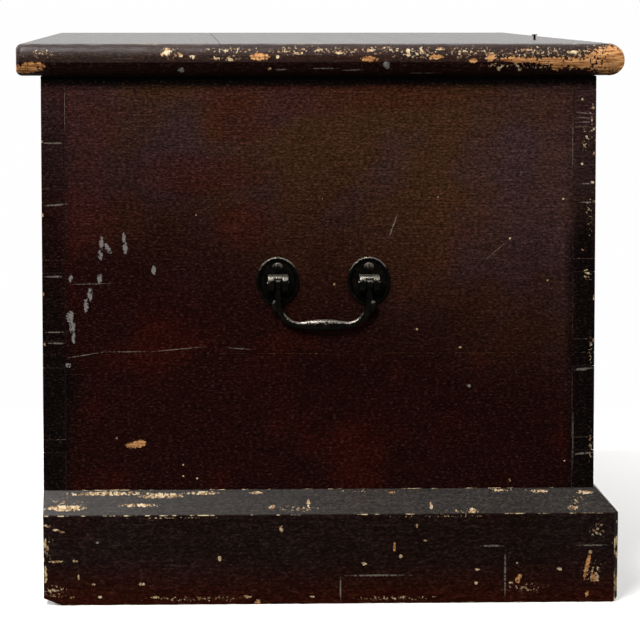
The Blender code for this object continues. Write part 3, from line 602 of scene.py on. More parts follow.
def chamfer_wear(add, axes):
    """The chamfer chips along both its edges, and more towards the front."""
    top = add("MapRange", {0: axes["Z"], 1: plinth_high.z - 5 * MM, 2: plinth_high.z, 3: 0.2, 4: 0.55})
    forward = add("MapRange", {0: axes["Y"], 1: FRONT + 30 * MM, 2: FRONT - 12 * MM})
    forward = add("Math", {0: forward, 1: 0.6}, operation="MULTIPLY")
    return add("Math", {0: top, 1: forward}, operation="MAXIMUM"), None


def turned_about(marks, length):
    """Every other mark of one end, turned end for end, for the far end to be worn in its own way."""
    return [(length - far, deep, wide, tall, -sum(turn)) for far, deep, wide, tall, *turn in marks[::2]]


def on_both_plinth_ends(marks):
    """Marks on the left end of the plinth, from its back and above the floor, and others on the right end."""
    return {
        kind: ovals((plinth_low.x, BACK, 0), TO_FRONT, UP, places)
        + ovals((-plinth_low.x, BACK, 0), TO_FRONT, UP, turned_about(places, PLINTH_LENGTH))
        for kind, places in marks.items()
    }


PLINTH_MARKS = {
    "flaked": [
        (4, 76, 6, 2.6), (12, 72, 5, 2, 10), (18, 70, 4, 1.8), (12, 42, 12, 1.8), (30, 42.5, 4, 2.4),
        (2, 60, 2.4, 8), (2, 30, 2.6, 14), (33, 27, 1.6, 4), (92, 20, 5.5, 2.4), (105, 7.5, 6.5, 1.9),
        (47, 20, 3, 1.6), (27, 8, 3, 1.8), (53, 8, 3.4, 1.8), (192, 7.5, 8, 2.4), (202, 3, 4.4, 3),
        (253, 7, 4, 1.4), (166, 44, 2.8, 4), (224, 72, 2.8, 6), (302, 38, 4.2, 2.4), (337, 45, 3.8, 2.6),
        (410, 32, 5, 1.9), (408, 19, 3, 2.4), (442, 19, 4, 1.6), (447, 38, 2.2, 1.6),
        (488, 32, 5.5, 2.2, 15), (517, 48, 3, 3), (521, 23, 8, 6), (412, 83, 2.4, 1.4), (352, 74, 2, 3),
        (360, 60, 3, 1.4),
    ],
    "bare": [
        (449, 23, 4, 6.5, 25), (514, 35, 3, 19, 12), (520, 24, 3, 7, -20), (514, 8, 2.6, 4.4, 10),
        (202, 2, 5, 2), (331, 54, 2, 6),
    ],
    "crazed": [
        (4, 55, 14, 40), (10, 14, 40, 20), (150, 6, 140, 8), (330, 5, 120, 7), (455, 14, 60, 14),
        (520, 30, 30, 34), (525, 70, 22, 26), (380, 83, 150, 3), (120, 83, 120, 2.4),
    ],
    "primed": [(51, 60, 3.4, 1.4)],
    "scratched": [
        (316, 27, 42, 1.3), (280, 13, 1.2, 18), (424, 54.5, 15, 1.4), (436, 27, 1.4, 32),
        (519, 54.5, 20, 1.2),
    ],
}
CHAMFER_MARKS = {
    "crazed": [
        (20, 97, 60, 14), (90, 103, 90, 7), (240, 90, 60, 8), (505, 96, 26, 20), (400, 88, 60, 6),
        (300, 105, 120, 4), (440, 105, 100, 4),
    ],
    "flaked": [
        (60, 104, 70, 3), (110, 102, 40, 4), (150, 104, 30, 2.4), (200, 104, 12, 2), (20, 92, 30, 4),
        (90, 94, 30, 2.4), (215, 92, 6, 3), (405, 88, 7, 3), (430, 105, 12, 2), (470, 104, 16, 2.4),
        (512, 103, 14, 3), (250, 95, 3, 5), (500, 90, 8, 3), (366, 92, 2.4, 6), (330, 104, 6, 2),
    ],
}
PLINTH_FRONT_MARKS = {
    "flaked": [
        (6, 60, 4, 14), (8, 20, 6, 10), (120, 6, 26, 4), (300, 5, 40, 4), (520, 6, 60, 5), (760, 5, 44, 4),
        (980, 6, 40, 5), (1086, 40, 5, 20), (220, 40, 4, 3), (430, 52, 5, 2.4), (640, 34, 3, 4),
        (840, 58, 4, 2.4), (940, 30, 5, 3), (340, 70, 3, 3),
    ],
    "crazed": [
        (20, 40, 40, 40), (200, 7, 160, 9), (500, 7, 180, 10), (800, 7, 180, 9), (1076, 30, 36, 36),
        (540, 83, 300, 3), (160, 83, 120, 3),
    ],
    "bare": [(540, 7, 36, 6), (1084, 14, 8, 9), (10, 10, 8, 7), (402, 24, 7, 5)],
    "scratched": [
        (260, 50, 44, 0.6, 3), (600, 46, 60, 0.6, -4), (880, 40, 34, 0.6, 8), (460, 30, 0.7, 14, 15),
    ],
}
plinth_front_marks = {
    kind: ovals((plinth_low.x, plinth_low.y, 0), TO_RIGHT, UP, places)
    for kind, places in PLINTH_FRONT_MARKS.items()
}
plinth_arris = rubbed_arris("rubbed_plinth_arris", 0.53)
block_pine = bare_pine("grimy_pine_glue_blocks", "Z", 0.2, FLOOR_GRIME)
plinth_end_marks = on_both_plinth_ends(PLINTH_MARKS)
chamfer_end_marks = on_both_plinth_ends(CHAMFER_MARKS)
for grain, nodes, marks, chamfer_marks in (
    ("Y", ("plinth_left_end", "plinth_right_end"), plinth_end_marks, chamfer_end_marks),
    ("X", ("plinth_front",), plinth_front_marks, {}),
):
    name = f"brushed_oil_paint_plinth_{grain}"
    face_paint = aged_paint(
        name, grain, PLINTH_TONES, PLINTH_FADE, plinth_wear, marks, DULL_SHEEN, DULL_GLOSS
    )
    # The chamfer's paint is partly real polish and partly a painted grey reflection in its tones.
    name = f"polished_and_sheen_painted_chamfer_{grain}"
    chamfer_paint = aged_paint(
        name, grain, PAINTED_SHEEN_CHAMFER_TONES, CHAMFER_FADE, chamfer_wear, chamfer_marks, CHAMFER_SHEEN, CHAMFER_GLOSS
    )
    for node in nodes:
        board = copy_of(node, face_paint, plinth_arris, chamfer_paint, rail_pine)
        bpy.ops.object.mode_set(mode="EDIT")
        for side in (-1, 1):
            corner = Vector((side * abs(plinth_low.x), plinth_low.y, 0))
            saw_off(corner + Vector((-side * CORNER_WORN, CORNER_WORN, 0)), (side, -1, 0))
        saw_off((0, plinth_low.y + FOOT_WORN, 0), (0, -1, -1))
        if grain == "Y":
            saw_off(HEEL_CUT, HEEL_SLOPE)
        pick("edges", lambda edge: runs(edge, "XY".index(grain)))
        bpy.ops.mesh.subdivide(number_cuts=PLINTH_CUTS)
        bpy.ops.object.mode_set(mode="OBJECT")
        ease_edges(board, PLINTH_ARRIS, 3, 1)
        edges = board.vertex_groups.new(name="knocked edges")
        strip = {v for face in board.data.polygons if face.material_index == 1 for v in face.vertices}
        edges.add([v for v in strip if board.data.vertices[v].co.z < FOOT_BAND], 1.0, "REPLACE")
        knock_about(board, KNOCK, KNOCK_SIZE, edges.name)
        smooth_edges(board)
        finish_faces(board, lambda middle, normal: 2 if 0.5 < normal.z < 0.9 else None)
        fit(board, node, "carcass")
rail = copy_of("plinth_back_rail", rail_pine)
bpy.ops.object.mode_set(mode="EDIT")
saw_off(HEEL_CUT, HEEL_SLOPE)
bpy.ops.object.mode_set(mode="OBJECT")
ease_edges(rail, FLOOR_ARRIS, 2, -1)
smooth_edges(rail)
fit(rail, "plinth_back_rail", "carcass")


def plain_piece(node, finish, arris, body):
    """A piece with one finish and its edges eased, in the place of the frame's own."""
    piece = copy_of(node, finish)
    ease_edges(piece, arris, 2, -1)
    smooth_edges(piece)
    fit(piece, node, body)


for corner in ("front_left", "front_right", "back_left", "back_right"):
    plain_piece(f"corner_block_{corner}", block_pine, FLOOR_ARRIS, "carcass")


# The lid: three pine boards glued edge to edge, planed to a round nose along the front and both ends and
# only eased along the back. Painted above and round the edge, bare inside, and worn hardest at the front.
lid_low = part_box("lid_board_1")[0]
lid_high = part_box("lid_board_3")[1]
NOSE = (lid_high.z - lid_low.z) / 2 - 0.3 * MM
NOSE_LINE = (lid_low.z + lid_high.z) / 2
HANDLED_ABOVE = 4 * MM
FADING_BELOW = 2 * MM
LID_CORNER = 17 * MM
LID_BACK_ARRIS = 6 * MM
PAINTED_MARGIN = 14 * MM
NOSE_LENGTH = 570
BOARD_ARRIS = 0.2 * MM
LID_CUTS = (220, 112)
LID_INNER = 100 * MM
LID_STEP = 6 * MM
LID_MARGIN_CUTS = 5
LID_KNOCK = 0.8 * MM
LID_KNOCK_SIZE = 14 * MM
LID_FADE = (0.2, 0.7, 0.0)
TOP_TONES = ("#1c110d", "#241812", "#282019", "#2a130d")
NOSE_TONES = ("#1d100d", "#281813", "#2c211c", "#2d130d")
# Painted shade: the lower nose and the overhang's underside take tones darker than the nose above.
SHADED_UNDER_TONES = ("#130605", "#150806", "#150a08", "#1a0806")
TOP_SHEEN = (0.16, 0.36)
TOP_GLOSS = (0.13, 0.22)


def lid_blank():
    """The whole lid, worn and dented, before it is parted into its boards."""
    bpy.ops.object.select_all(action="DESELECT")
    bpy.ops.mesh.primitive_cube_add(size=1, location=(lid_low + lid_high) / 2, scale=lid_high - lid_low)
    blank = bpy.context.object
    bpy.ops.object.transform_apply()
    bpy.ops.object.mode_set(mode="EDIT")
    pick("edges", lambda edge: runs(edge, 2) and edge.verts[0].co.y < 0)
    bpy.ops.mesh.bevel(offset=LID_CORNER, segments=8, profile=0.5)
    back = lid_high.y - 0.1 * MM
    pick("edges", lambda edge: not runs(edge, 2) and min(v.co.y for v in edge.verts) < back)
    bpy.ops.mesh.bevel(offset=NOSE, segments=12, profile=0.5)
    pick("edges", lambda edge: min(v.co.y for v in edge.verts) > back)
    bpy.ops.mesh.bevel(offset=LID_BACK_ARRIS, segments=4, profile=0.5)
    for place, across in (
        ((LEFT + PAINTED_MARGIN, 0, 0), (1, 0, 0)),
        ((-LEFT - PAINTED_MARGIN, 0, 0), (1, 0, 0)),
        ((0, FRONT + PAINTED_MARGIN, 0), (0, 1, 0)),
        ((0, BACK - PAINTED_MARGIN, 0), (0, 1, 0)),
    ):
        bpy.ops.mesh.select_all(action="SELECT")
        bpy.ops.mesh.bisect(plane_co=place, plane_no=across)
    for axis, cuts in enumerate(LID_CUTS):
        pick("edges", lambda edge: runs(edge, axis) and edge.calc_length() > LID_INNER)
        bpy.ops.mesh.subdivide(number_cuts=cuts)
        pick("edges", lambda edge: runs(edge, axis) and edge.calc_length() > LID_STEP)
        bpy.ops.mesh.subdivide(number_cuts=LID_MARGIN_CUTS)
    bpy.ops.object.mode_set(mode="OBJECT")
    nose = blank.vertex_groups.new(name="nose")
    ends = lid_high.x - NOSE
    rounded = [v.index for v in blank.data.vertices if abs(v.co.x) > ends or v.co.y < lid_low.y + NOSE]
    nose.add(rounded, 1.0, "REPLACE")
    knock_about(blank, LID_KNOCK, LID_KNOCK_SIZE, nose.name)
    return blank


def lid_wear(add, axes):
    """The lid's nose chips all round, and more and more towards the front."""
    along = add("Math", {0: axes["X"]}, operation="ABSOLUTE")
    ends = add("MapRange", {0: along, 1: lid_high.x - 24 * MM, 2: lid_high.x - 8 * MM})
    front = add("MapRange", {0: axes["Y"], 1: lid_low.y + 24 * MM, 2: lid_low.y + 8 * MM})
    edge = add("Math", {0: ends, 1: front}, operation="MAXIMUM")
    forward = add("MapRange", {0: axes["Y"], 1: 170 * MM, 2: lid_low.y, 3: 0.12, 4: 0.62})
    return add("Math", {0: edge, 1: forward}, operation="MULTIPLY"), None


NOSE_MARKS = {
    "bare": [
        (12, 22, 24, 7, -6), (227, 12, 13, 5), (329, 14, 11.5, 4), (391, 12.5, 10, 3.2), (426, 16, 5.5, 3),
        (442, 13, 5, 5), (470, 15, 26, 4), (498, 16, 26, 5.4), (526, 18, 26, 8), (556, 17, 26, 22),
        (505, 21, 9, 6),
    ],
    "flaked": [
        (140, 8, 8, 7), (152, 11, 6, 3), (165, 12, 5, 3.4), (187, 14, 8, 2.4), (200, 15, 5, 2),
        (236, 23.5, 2.8, 2.6), (243, 12, 3, 3), (300, 8, 8, 3), (365, 8, 3, 7), (377, 7, 3, 6),
        (395, 5, 8, 2.4), (442, 12, 6, 7), (476, 6, 9, 2.2), (520, 8, 12, 3), (548, 6, 10, 3),
        (450, 24, 3.4, 3.4), (470, 24, 3, 2.2, -40), (262, 9, 8, 2), (330, 6, 7, 2),
    ],
    "crazed": [
        (24, 9, 40, 14), (20, 18, 40, 8), (146, 9, 24, 14), (200, 13, 50, 9), (250, 8, 60, 8),
        (300, 7, 90, 14), (340, 6, 90, 12), (372, 9, 90, 18), (420, 8, 80, 18), (450, 11, 70, 20),
        (490, 8, 90, 20), (530, 9, 70, 22), (500, 22, 80, 11), (455, 21, 60, 10), (552, 12, 40, 30),
        (200, 6, 90, 10), (270, 5, 90, 9),
    ],
    "primed": [(154, 24.5, 5, 4), (345, 20, 5, 5)],
    "scratched": [(248, 24, 9, 1), (287, 23, 18, 0.9), (314, 24.5, 13, 1, -2), (380, 27.5, 22, 0.7)],
}
FRONT_NOSE_MARKS = {
    "bare": [
        (6, 16, 40, 22), (70, 15, 30, 5), (180, 14, 16, 4), (420, 15, 60, 5), (551, 14, 90, 8),
        (690, 16, 50, 5), (860, 13, 18, 4), (1030, 15, 30, 5), (1096, 16, 26, 18),
    ],
    "flaked": [
        (110, 9, 14, 4), (150, 11, 9, 3), (250, 8, 12, 4), (310, 10, 16, 4), (370, 8, 10, 5),
        (470, 7, 20, 4), (620, 8, 24, 4), (740, 10, 14, 4), (800, 8, 10, 3), (910, 9, 16, 4),
        (970, 11, 12, 4), (330, 24, 6, 3), (780, 23, 7, 3),
    ],
    "crazed": [
        (60, 10, 80, 14), (220, 9, 110, 12), (400, 9, 120, 14), (560, 9, 130, 16), (720, 9, 120, 14),
        (900, 9, 120, 12), (1050, 10, 70, 16),
    ],
    "primed": [(260, 22, 5, 4)],
    "scratched": [(300, 22, 20, 0.9), (640, 24, 26, 0.9), (830, 22, 18, 0.9, 2)],
}
LID_TOP_MARKS = {
    "crazed": [
        (20, 280, 26, 150), (20, 520, 46, 46), (300, 556, 280, 22), (700, 556, 240, 20),
        (1084, 430, 22, 130), (1060, 545, 60, 30), (560, 552, 110, 24), (14, 120, 18, 100),
    ],
    "flaked": [
        (10, 560, 26, 14), (60, 562, 30, 6), (160, 564, 22, 4), (330, 563, 26, 5), (545, 562, 44, 7),
        (760, 564, 24, 4), (930, 563, 30, 5), (1092, 555, 12, 14), (1096, 380, 4, 24), (1095, 200, 4, 16),
    ],
    "bare": [(14, 562, 24, 12), (548, 565, 30, 5), (1094, 562, 10, 9)],
    "scratched": [
        (300, 300, 90, 0.7, 12), (420, 240, 38, 0.6, -20), (640, 420, 60, 0.7, 35), (760, 330, 120, 0.6, 6),
        (880, 180, 30, 0.7, -40), (520, 130, 60, 0.6, 18), (180, 420, 26, 0.7, 60),
        (980, 460, 40, 0.6, -12), (240, 150, 80, 0.6, 4), (660, 250, 22, 0.8, -65),
    ],
}
nose_marks = {
    kind: ovals((lid_low.x, lid_high.y, lid_high.z), TO_FRONT, DOWN, places)
    + ovals(lid_high, TO_FRONT, DOWN, turned_about(places[1:], NOSE_LENGTH))
    + ovals((lid_low.x, lid_low.y, lid_high.z), TO_RIGHT, DOWN, FRONT_NOSE_MARKS[kind])
    for kind, places in NOSE_MARKS.items()
}
lid_top_marks = {
    kind: ovals((lid_low.x, lid_high.y, lid_high.z), TO_RIGHT, TO_FRONT, places)
    for kind, places in LID_TOP_MARKS.items()
}
lid_paints = []
for name, grain, tones, marks, sheen, gloss in (
    ("polished_oil_paint_lid_top", "X", TOP_TONES, lid_top_marks, TOP_SHEEN, TOP_GLOSS[0]),
    ("handled_oil_paint_nose", "Y", NOSE_TONES, nose_marks, (0.28, 0.5), 0.18),
    ("fading_oil_paint_nose", "Y", NOSE_TONES, nose_marks, (0.36, 0.52), 0.08),
    ("dull_shaded_oil_paint_under_lid", "Y", SHADED_UNDER_TONES, nose_marks, DULL_SHEEN, DULL_GLOSS),
):
    lid_paints.append(aged_paint(name, grain, tones, LID_FADE, lid_wear, marks, sheen, gloss))
lid_inside = bare_pine("bare_pine_lid", "X", CLEAN_PINE, INSIDE_DIRT)

# Years of rubbing along the boards have left the top's polish in streaks.
tree = lid_paints[0].node_tree
add = partial(add_node, tree)
rubs = add("Mapping", {0: add("TexCoord", {}, "Object"), 3: grain_sizes("X", 340 * MM, 16 * MM)})
rubs = add("TexNoise", {"Vector": rubs, "Scale": 1.0, "Detail": 5.0})
rubs = add("MapRange", {0: rubs, 1: 0.3, 2: 0.7, 3: TOP_GLOSS[0], 4: TOP_GLOSS[1]})
plug(tree.nodes["Principled BSDF"], {"Specular IOR Level": rubs})


def lid_finish(middle, normal):
    """Bare inside, polished on top, and duller by steps down round the nose; the lowest step is painted
    darker as shade.
    """
    margin = PAINTED_MARGIN - MM
    inside = abs(middle.x) < -LEFT - margin and FRONT + margin < middle.y < BACK - margin
    if normal.z < -0.95 and inside:
        return 4
    if normal.z > SQUARE_ON:
        return 0
    if middle.z > NOSE_LINE + HANDLED_ABOVE:
        return 1
    return 2 if middle.z > NOSE_LINE - FADING_BELOW else 3


whole = lid_blank()
for number in range(1, 4):
    node = f"lid_board_{number}"
    low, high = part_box(node)
    board = copied("worn_" + node, whole.data)
    bpy.ops.object.mode_set(mode="EDIT")
    for joint, facing in ((low.y, -1), (high.y, 1)):
        if lid_low.y + MM < joint < lid_high.y - MM:
            saw_off((0, joint, 0), (0, facing, 0))
            pick("edges", lambda edge: all(abs(v.co.y - joint) < 0.01 * MM for v in edge.verts))
            bpy.ops.mesh.bevel(offset=BOARD_ARRIS, segments=1)
    bpy.ops.object.mode_set(mode="OBJECT")
    for finish in (*lid_paints, lid_inside):
        board.data.materials.append(finish)
    smooth_edges(board)
    finish_faces(board, lid_finish)
    fit(board, node, "lid")
bpy.data.objects.remove(whole)


# Two battens of bare pine across the inside of the lid, planed and eased by hand. They are nailed up into its
# three boards to keep them flat.
BATTEN_ARRIS = 0.8 * MM
batten_pine = bare_pine("bare_pine_battens", "Y", CLEAN_PINE, INSIDE_DIRT)
for node in ("lid_batten_left", "lid_batten_right"):
    plain_piece(node, batten_pine, BATTEN_ARRIS, "lid")


# The lid's hinges: two iron butt hinges let in between the back board and the lid, each leaf held by three
# screws, and one proud nail in the top of the lid.
HINGE_ARRIS = 0.25 * MM
IRON_GLOSS = 0.02


# Black japan over old iron, thin and brown with rust in places, and bright metal on what faces up: partly
# rubbed wear, partly a painted highlight from the light above.
def black_iron(name, rubbed_and_highlit_from, bright):
    material, add, shader = new_material(name)
    place = add("TexCoord", {}, None)
    pits = add("TexNoise", {"Vector": place["Object"], "Scale": 1 / (1.6 * MM), "Detail": 4.0})
    film = add("TexNoise", {"Vector": place["Object"], "Scale": 1 / (6 * MM), "Detail": 3.0})
    rust = add("MapRange", {0: film, 1: 0.5, 2: 0.7})
    japan = add("Mix", {0: rust, 6: colour("#050504"), 7: colour("#140e0a")}, 2, data_type="RGBA")
    # Painted highlight: the upward part of this mask makes what faces up bright metal, as light from above
    # would; the pits and film add real rubbing.
    up = add("SeparateXYZ", {0: place["Normal"]}, "Z")
    high = add("Math", {0: pits, 1: 0.9, 2: up}, operation="MULTIPLY_ADD")
    high = add("Math", {0: film, 1: 0.8, 2: high}, operation="MULTIPLY_ADD")
    rubbed = add("MapRange", {0: high, 1: rubbed_and_highlit_from, 2: rubbed_and_highlit_from + 0.5})
    face = add("Mix", {0: rubbed, 6: japan, 7: colour(bright)}, 2, data_type="RGBA")
    rough = add("MapRange", {0: pits, 1: 0.3, 2: 0.7, 3: 0.2, 4: 0.5})
    bump = add("Bump", {"Strength": 0.6, "Distance": 0.25 * MM, "Height": pits})
    plug(shader, {"Base Color": face, "Metallic": rubbed, "Roughness": rough, "Normal": bump})
    plug(shader, {"Specular IOR Level": IRON_GLOSS})
    return material


hinge_iron = black_iron("japanned_hinge_iron", 1.35, "#6f665c")
for hinge in ("hinge_left", "hinge_right"):
    for leaf, body in (("back", "carcass"), ("lid", "lid")):
        for node in [f"{hinge}_{leaf}_leaf"] + [f"{hinge}_{leaf}_screw_{number}" for number in (1, 2, 3)]:
            plain_piece(node, hinge_iron, HINGE_ARRIS, body)
for node, body in (("hinge_left_pin", "carcass"), ("hinge_right_pin", "carcass"), ("lid_nail", "lid")):
    plain_piece(node, hinge_iron, HINGE_ARRIS, body)


# Nails that hold the battens to the lid and the back rail to its blocks, with low, round, hammered heads.
# The plinth's own nails are punched under the paint, so nothing of them shows.
NAIL_HEAD = 3.6 * MM
NAIL_RISE = 0.5 * MM
BATTEN_NAILS = ((0.3, 0.08), (0.7, 0.36), (0.3, 0.64), (0.7, 0.92))
RAIL_NAILS = ((0.03, 0.4), (0.05, 0.75), (0.95, 0.4), (0.97, 0.75))
rail_low, rail_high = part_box("plinth_back_rail")


def nail_head():
    """One head, standing on the origin and facing up, with its rim sunk in the wood."""
    bpy.ops.object.select_all(action="DESELECT")
    bpy.ops.mesh.primitive_cylinder_add(vertices=14, radius=NAIL_HEAD, depth=NAIL_RISE)
    head = bpy.context.object
    bpy.ops.object.mode_set(mode="EDIT")
    pick("faces", lambda face: face.normal.z > 0.9)
    for rise in (0.8, 0.4):
        bpy.ops.mesh.inset(thickness=NAIL_HEAD * 0.3, depth=NAIL_RISE * rise)
    bpy.ops.object.mode_set(mode="OBJECT")
    head.data.materials.append(hinge_iron)
    bpy.ops.object.shade_smooth_by_angle(angle=SMOOTH_ANGLE)
    return head


def drive(head, name, body, place, turn):
    """Drives a copy of the nail in at a place."""
    nail = copied(name, head.data)
    nail.location = place
    nail.rotation_euler = (turn, 0, 0)
    bpy.ops.object.transform_apply()
    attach(nail, body)


head = nail_head()
for batten in ("left", "right"):
    low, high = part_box(f"lid_batten_{batten}")
    for number, (across, along) in enumerate(BATTEN_NAILS, 1):
        place = (low.x + across * (high.x - low.x), low.y + along * (high.y - low.y), low.z)
        drive(head, f"{batten}_batten_nail_{number}", "lid", place, math.radians(180))
for number, (along, up) in enumerate(RAIL_NAILS, 1):
    place = (rail_low.x + along * (rail_high.x - rail_low.x), rail_high.y, up * rail_high.z)
    drive(head, f"rail_nail_{number}", "carcass", place, math.radians(-90))
bpy.data.objects.remove(head)


# The handle roses: an oval iron plate cast with a raised bead round its rim and a forked lug that the bail
# hangs in. One screw above the lug and a cast spigot behind hold each plate to the end board.
handle_iron = black_iron("japanned_handle_iron", 1.22, "#aaa296")
# The upward faces in the lower half of each rose stay dark iron: soot, and painted shade under the lug and
# bail.
sooty_and_shaded_iron = black_iron("sooty_and_shaded_rose_iron", 2.1, "#3a3631")
rose_low, rose_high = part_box("left_handle_front_rose")
pivot_low, pivot_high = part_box("left_handle_front_pivot")
ROSE_MIDDLE = (rose_low + rose_high) / 2
PIVOT = (pivot_low + pivot_high) / 2
ROSE_SEAT = 0.3 * MM
ROSE_EDGE = 1.4 * MM
ROSE_BEAD = (
    (0.25, 1.2), (0.45, 0.9), (0.6, 0.6), (0.7, 0.2), (0.7, -0.25), (0.6, -0.7), (0.45, -0.8), (0.25, -0.6),
)
ROSE_FIELD = 5 * MM
LUG_WIDTH = 19 * MM
LUG_RADIUS = PIVOT.x - rose_low.x
LUG_FOOT = 17 * MM
LUG_GAP = 7.4 * MM
LUG_BRIDGE = 5.5 * MM
LUG_THROAT = 5.7 * MM
LUG_ARRIS = 1.1 * MM
SLOT_REACH = 40 * MM
HEEL_ANGLE = math.radians(30)


def turn_faces_out(piece):
    """Turns every face of a piece outwards."""
    hold(piece)
    bpy.ops.object.mode_set(mode="EDIT")
    bpy.ops.mesh.select_all(action="SELECT")
    bpy.ops.mesh.normals_make_consistent(inside=False)
    bpy.ops.object.mode_set(mode="OBJECT")


def round_off(piece):
    """Rounds a piece off all over, as casting or forging leaves it."""
    rounding = piece.modifiers.new("rounding", "SUBSURF")
    rounding.levels = 1
    rounding.render_levels = 1
    bpy.ops.object.modifier_apply(modifier=rounding.name)


def forked_lug():
    """The lug: a rounded block, cut through from below and in front by a slot for the bail's eye."""
    bpy.ops.object.select_all(action="DESELECT")
    bpy.ops.mesh.primitive_circle_add(
        vertices=36,
        radius=LUG_RADIUS,
        fill_type="NGON",
        location=PIVOT - Vector((0, LUG_WIDTH / 2, 0)),
        rotation=(math.radians(90), 0, 0),
    )
    lug = bpy.context.object
    bpy.ops.object.transform_apply()
    bpy.ops.object.mode_set(mode="EDIT")
    inward = PIVOT.x + 0.01 * MM
    heel = PIVOT.z - LUG_RADIUS * math.cos(HEEL_ANGLE)
    pick("verts", lambda v: v.co.x > inward and v.co.z > PIVOT.z)
    bpy.ops.transform.resize(value=(0, 1, 0), center_override=(LEFT, PIVOT.y, PIVOT.z + LUG_RADIUS))
    pick("verts", lambda v: v.co.z < heel or (inward < v.co.x < LEFT - MM and v.co.z <= PIVOT.z))
    bpy.ops.transform.resize(value=(0, 1, 0), center_override=(LEFT, PIVOT.y, ROSE_MIDDLE.z - LUG_FOOT))
    bpy.ops.mesh.select_all(action="SELECT")
    bpy.ops.mesh.remove_doubles(threshold=0.01 * MM)
    bpy.ops.mesh.select_all(action="SELECT")
    bpy.ops.mesh.extrude_region_move(TRANSFORM_OT_translate={"value": (0, LUG_WIDTH, 0)})
    bpy.ops.object.mode_set(mode="OBJECT")
    turn_faces_out(lug)
    slot_low = PIVOT - Vector((SLOT_REACH, LUG_GAP / 2, SLOT_REACH))
    slot_high = PIVOT + Vector((LUG_THROAT, LUG_GAP / 2, LUG_BRIDGE))
    bpy.ops.mesh.primitive_cube_add(size=1, location=(slot_low + slot_high) / 2, scale=slot_high - slot_low)
    slot = bpy.context.object
    hold(lug)
    cut = lug.modifiers.new("slot", "BOOLEAN")
    cut.object = slot
    cut.operation = "DIFFERENCE"
    bpy.ops.object.modifier_apply(modifier=cut.name)
    bpy.data.objects.remove(slot)
    ease_edges(lug, LUG_ARRIS, 3, -1)
    return lug


def oval_rose():
    """The plate with its bead, and the lug cast on it."""
    bpy.ops.object.select_all(action="DESELECT")
    bpy.ops.mesh.primitive_circle_add(
        vertices=48,
        radius=0.5,
        fill_type="NGON",
        location=(LEFT - ROSE_SEAT, ROSE_MIDDLE.y, ROSE_MIDDLE.z),
        rotation=(0, math.radians(-90), 0),
    )
    rose = bpy.context.object
    rose.scale = (rose_high.z - rose_low.z, rose_high.y - rose_low.y, 1)
    bpy.ops.object.transform_apply()
    bpy.ops.object.mode_set(mode="EDIT")
    bpy.ops.mesh.select_all(action="SELECT")
    bpy.ops.mesh.extrude_region_move(TRANSFORM_OT_translate={"value": (-ROSE_EDGE, 0, 0)})
    for inset, rise in ROSE_BEAD:
        bpy.ops.mesh.inset(thickness=inset * MM, depth=rise * MM)
    bpy.ops.mesh.inset(thickness=ROSE_FIELD, depth=0)
    bpy.ops.object.mode_set(mode="OBJECT")
    turn_faces_out(rose)
    round_off(rose)
    for finish in (handle_iron, sooty_and_shaded_iron):
        rose.data.materials.append(finish)
    # Painted shade and soot: the rose's lower upward faces take the dark iron.
    finish_faces(rose, lambda middle, normal: 1 if middle.z < ROSE_MIDDLE.z and normal.z > 0 else 0)
    lug = forked_lug()
    lug.data.materials.append(handle_iron)
    hold(rose)
    lug.select_set(True)
    bpy.ops.object.join()
    bpy.ops.object.shade_smooth_by_angle(angle=SMOOTH_ANGLE)
    return rose


def set_handle_piece(model, node, body, shift, mirrored):
    """Puts a copy of a piece of the left front handle where it belongs on either end, with its own mesh."""
    piece = copied("worn_" + node, model.data)
    piece.location.y = shift
    piece.scale.x = -1 if mirrored else 1
    bpy.ops.object.transform_apply()
    if mirrored:
        turn_faces_out(piece)
    fit(piece, node, body)


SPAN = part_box("left_handle_back_rose")[0].y - rose_low.y
rose = oval_rose()
for end, mirrored in (("left", False), ("right", True)):
    set_handle_piece(rose, f"{end}_handle_front_rose", "carcass", 0, mirrored)
    set_handle_piece(rose, f"{end}_handle_back_rose", "carcass", SPAN, mirrored)
bpy.data.objects.remove(rose)


# The pivots that the bails turn on, short iron pins peened over at both ends, and the slotted iron screw that
# holds each rose to its end board.
screw_iron = black_iron("dull_screw_iron", 0.95, "#6a625a")
for end in ("left", "right"):
    for side in ("front", "back"):
        for kind, finish in (("pivot", handle_iron), ("screw", screw_iron)):
            plain_piece(f"{end}_handle_{side}_{kind}", finish, HINGE_ARRIS, "carcass")


# The bails: one bar of wrought iron each, with an eye at both ends, bent round to a swelling grip, and a
# small bulb at each heel. Their tops are bright metal, partly rubbed by hands and partly a painted highlight.
bail_low, bail_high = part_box("left_handle_bail")
HANDLE_MIDDLE = (bail_low.y + bail_high.y) / 2
EYE_RADIUS = 5.2 * MM
EYE_WIDTH = 6.2 * MM
LEG_RADIUS = 3.4 * MM
LEG_TAPER = (0.98, 0.94, 0.94, 1.05, 1.08)
GRIP_RADIUS = (bail_high.x - bail_low.x) / 2
BEND = 21 * MM
DROP = PIVOT.z - bail_low.z - GRIP_RADIUS
HALF_GRIP = SPAN / 2 - BEND
GRIP_SWELL = (0.25, 0.52, 0.75, 0.9, 0.98, 1.0)
HEEL = (3.9 * MM, 3.7 * MM, 6.2 * MM)
HEEL_PLACE = Vector((0, -2.8 * MM, BEND - DROP - 3.4 * MM))
EYE_ARRIS = 0.9 * MM
BAIL_SMOOTH = math.radians(50)


def stretch(step, growth):
    """Draws the open end of the bar out by one step and thickens it."""
    bpy.ops.mesh.extrude_region_move(TRANSFORM_OT_translate={"value": step})
    ring = bmesh.from_edit_mesh(bpy.context.edit_object.data)
    points = [v.co for v in ring.verts if v.select]
    middle = sum(points, Vector()) / len(points)
    bpy.ops.transform.resize(value=(growth,) * 3, center_override=middle)


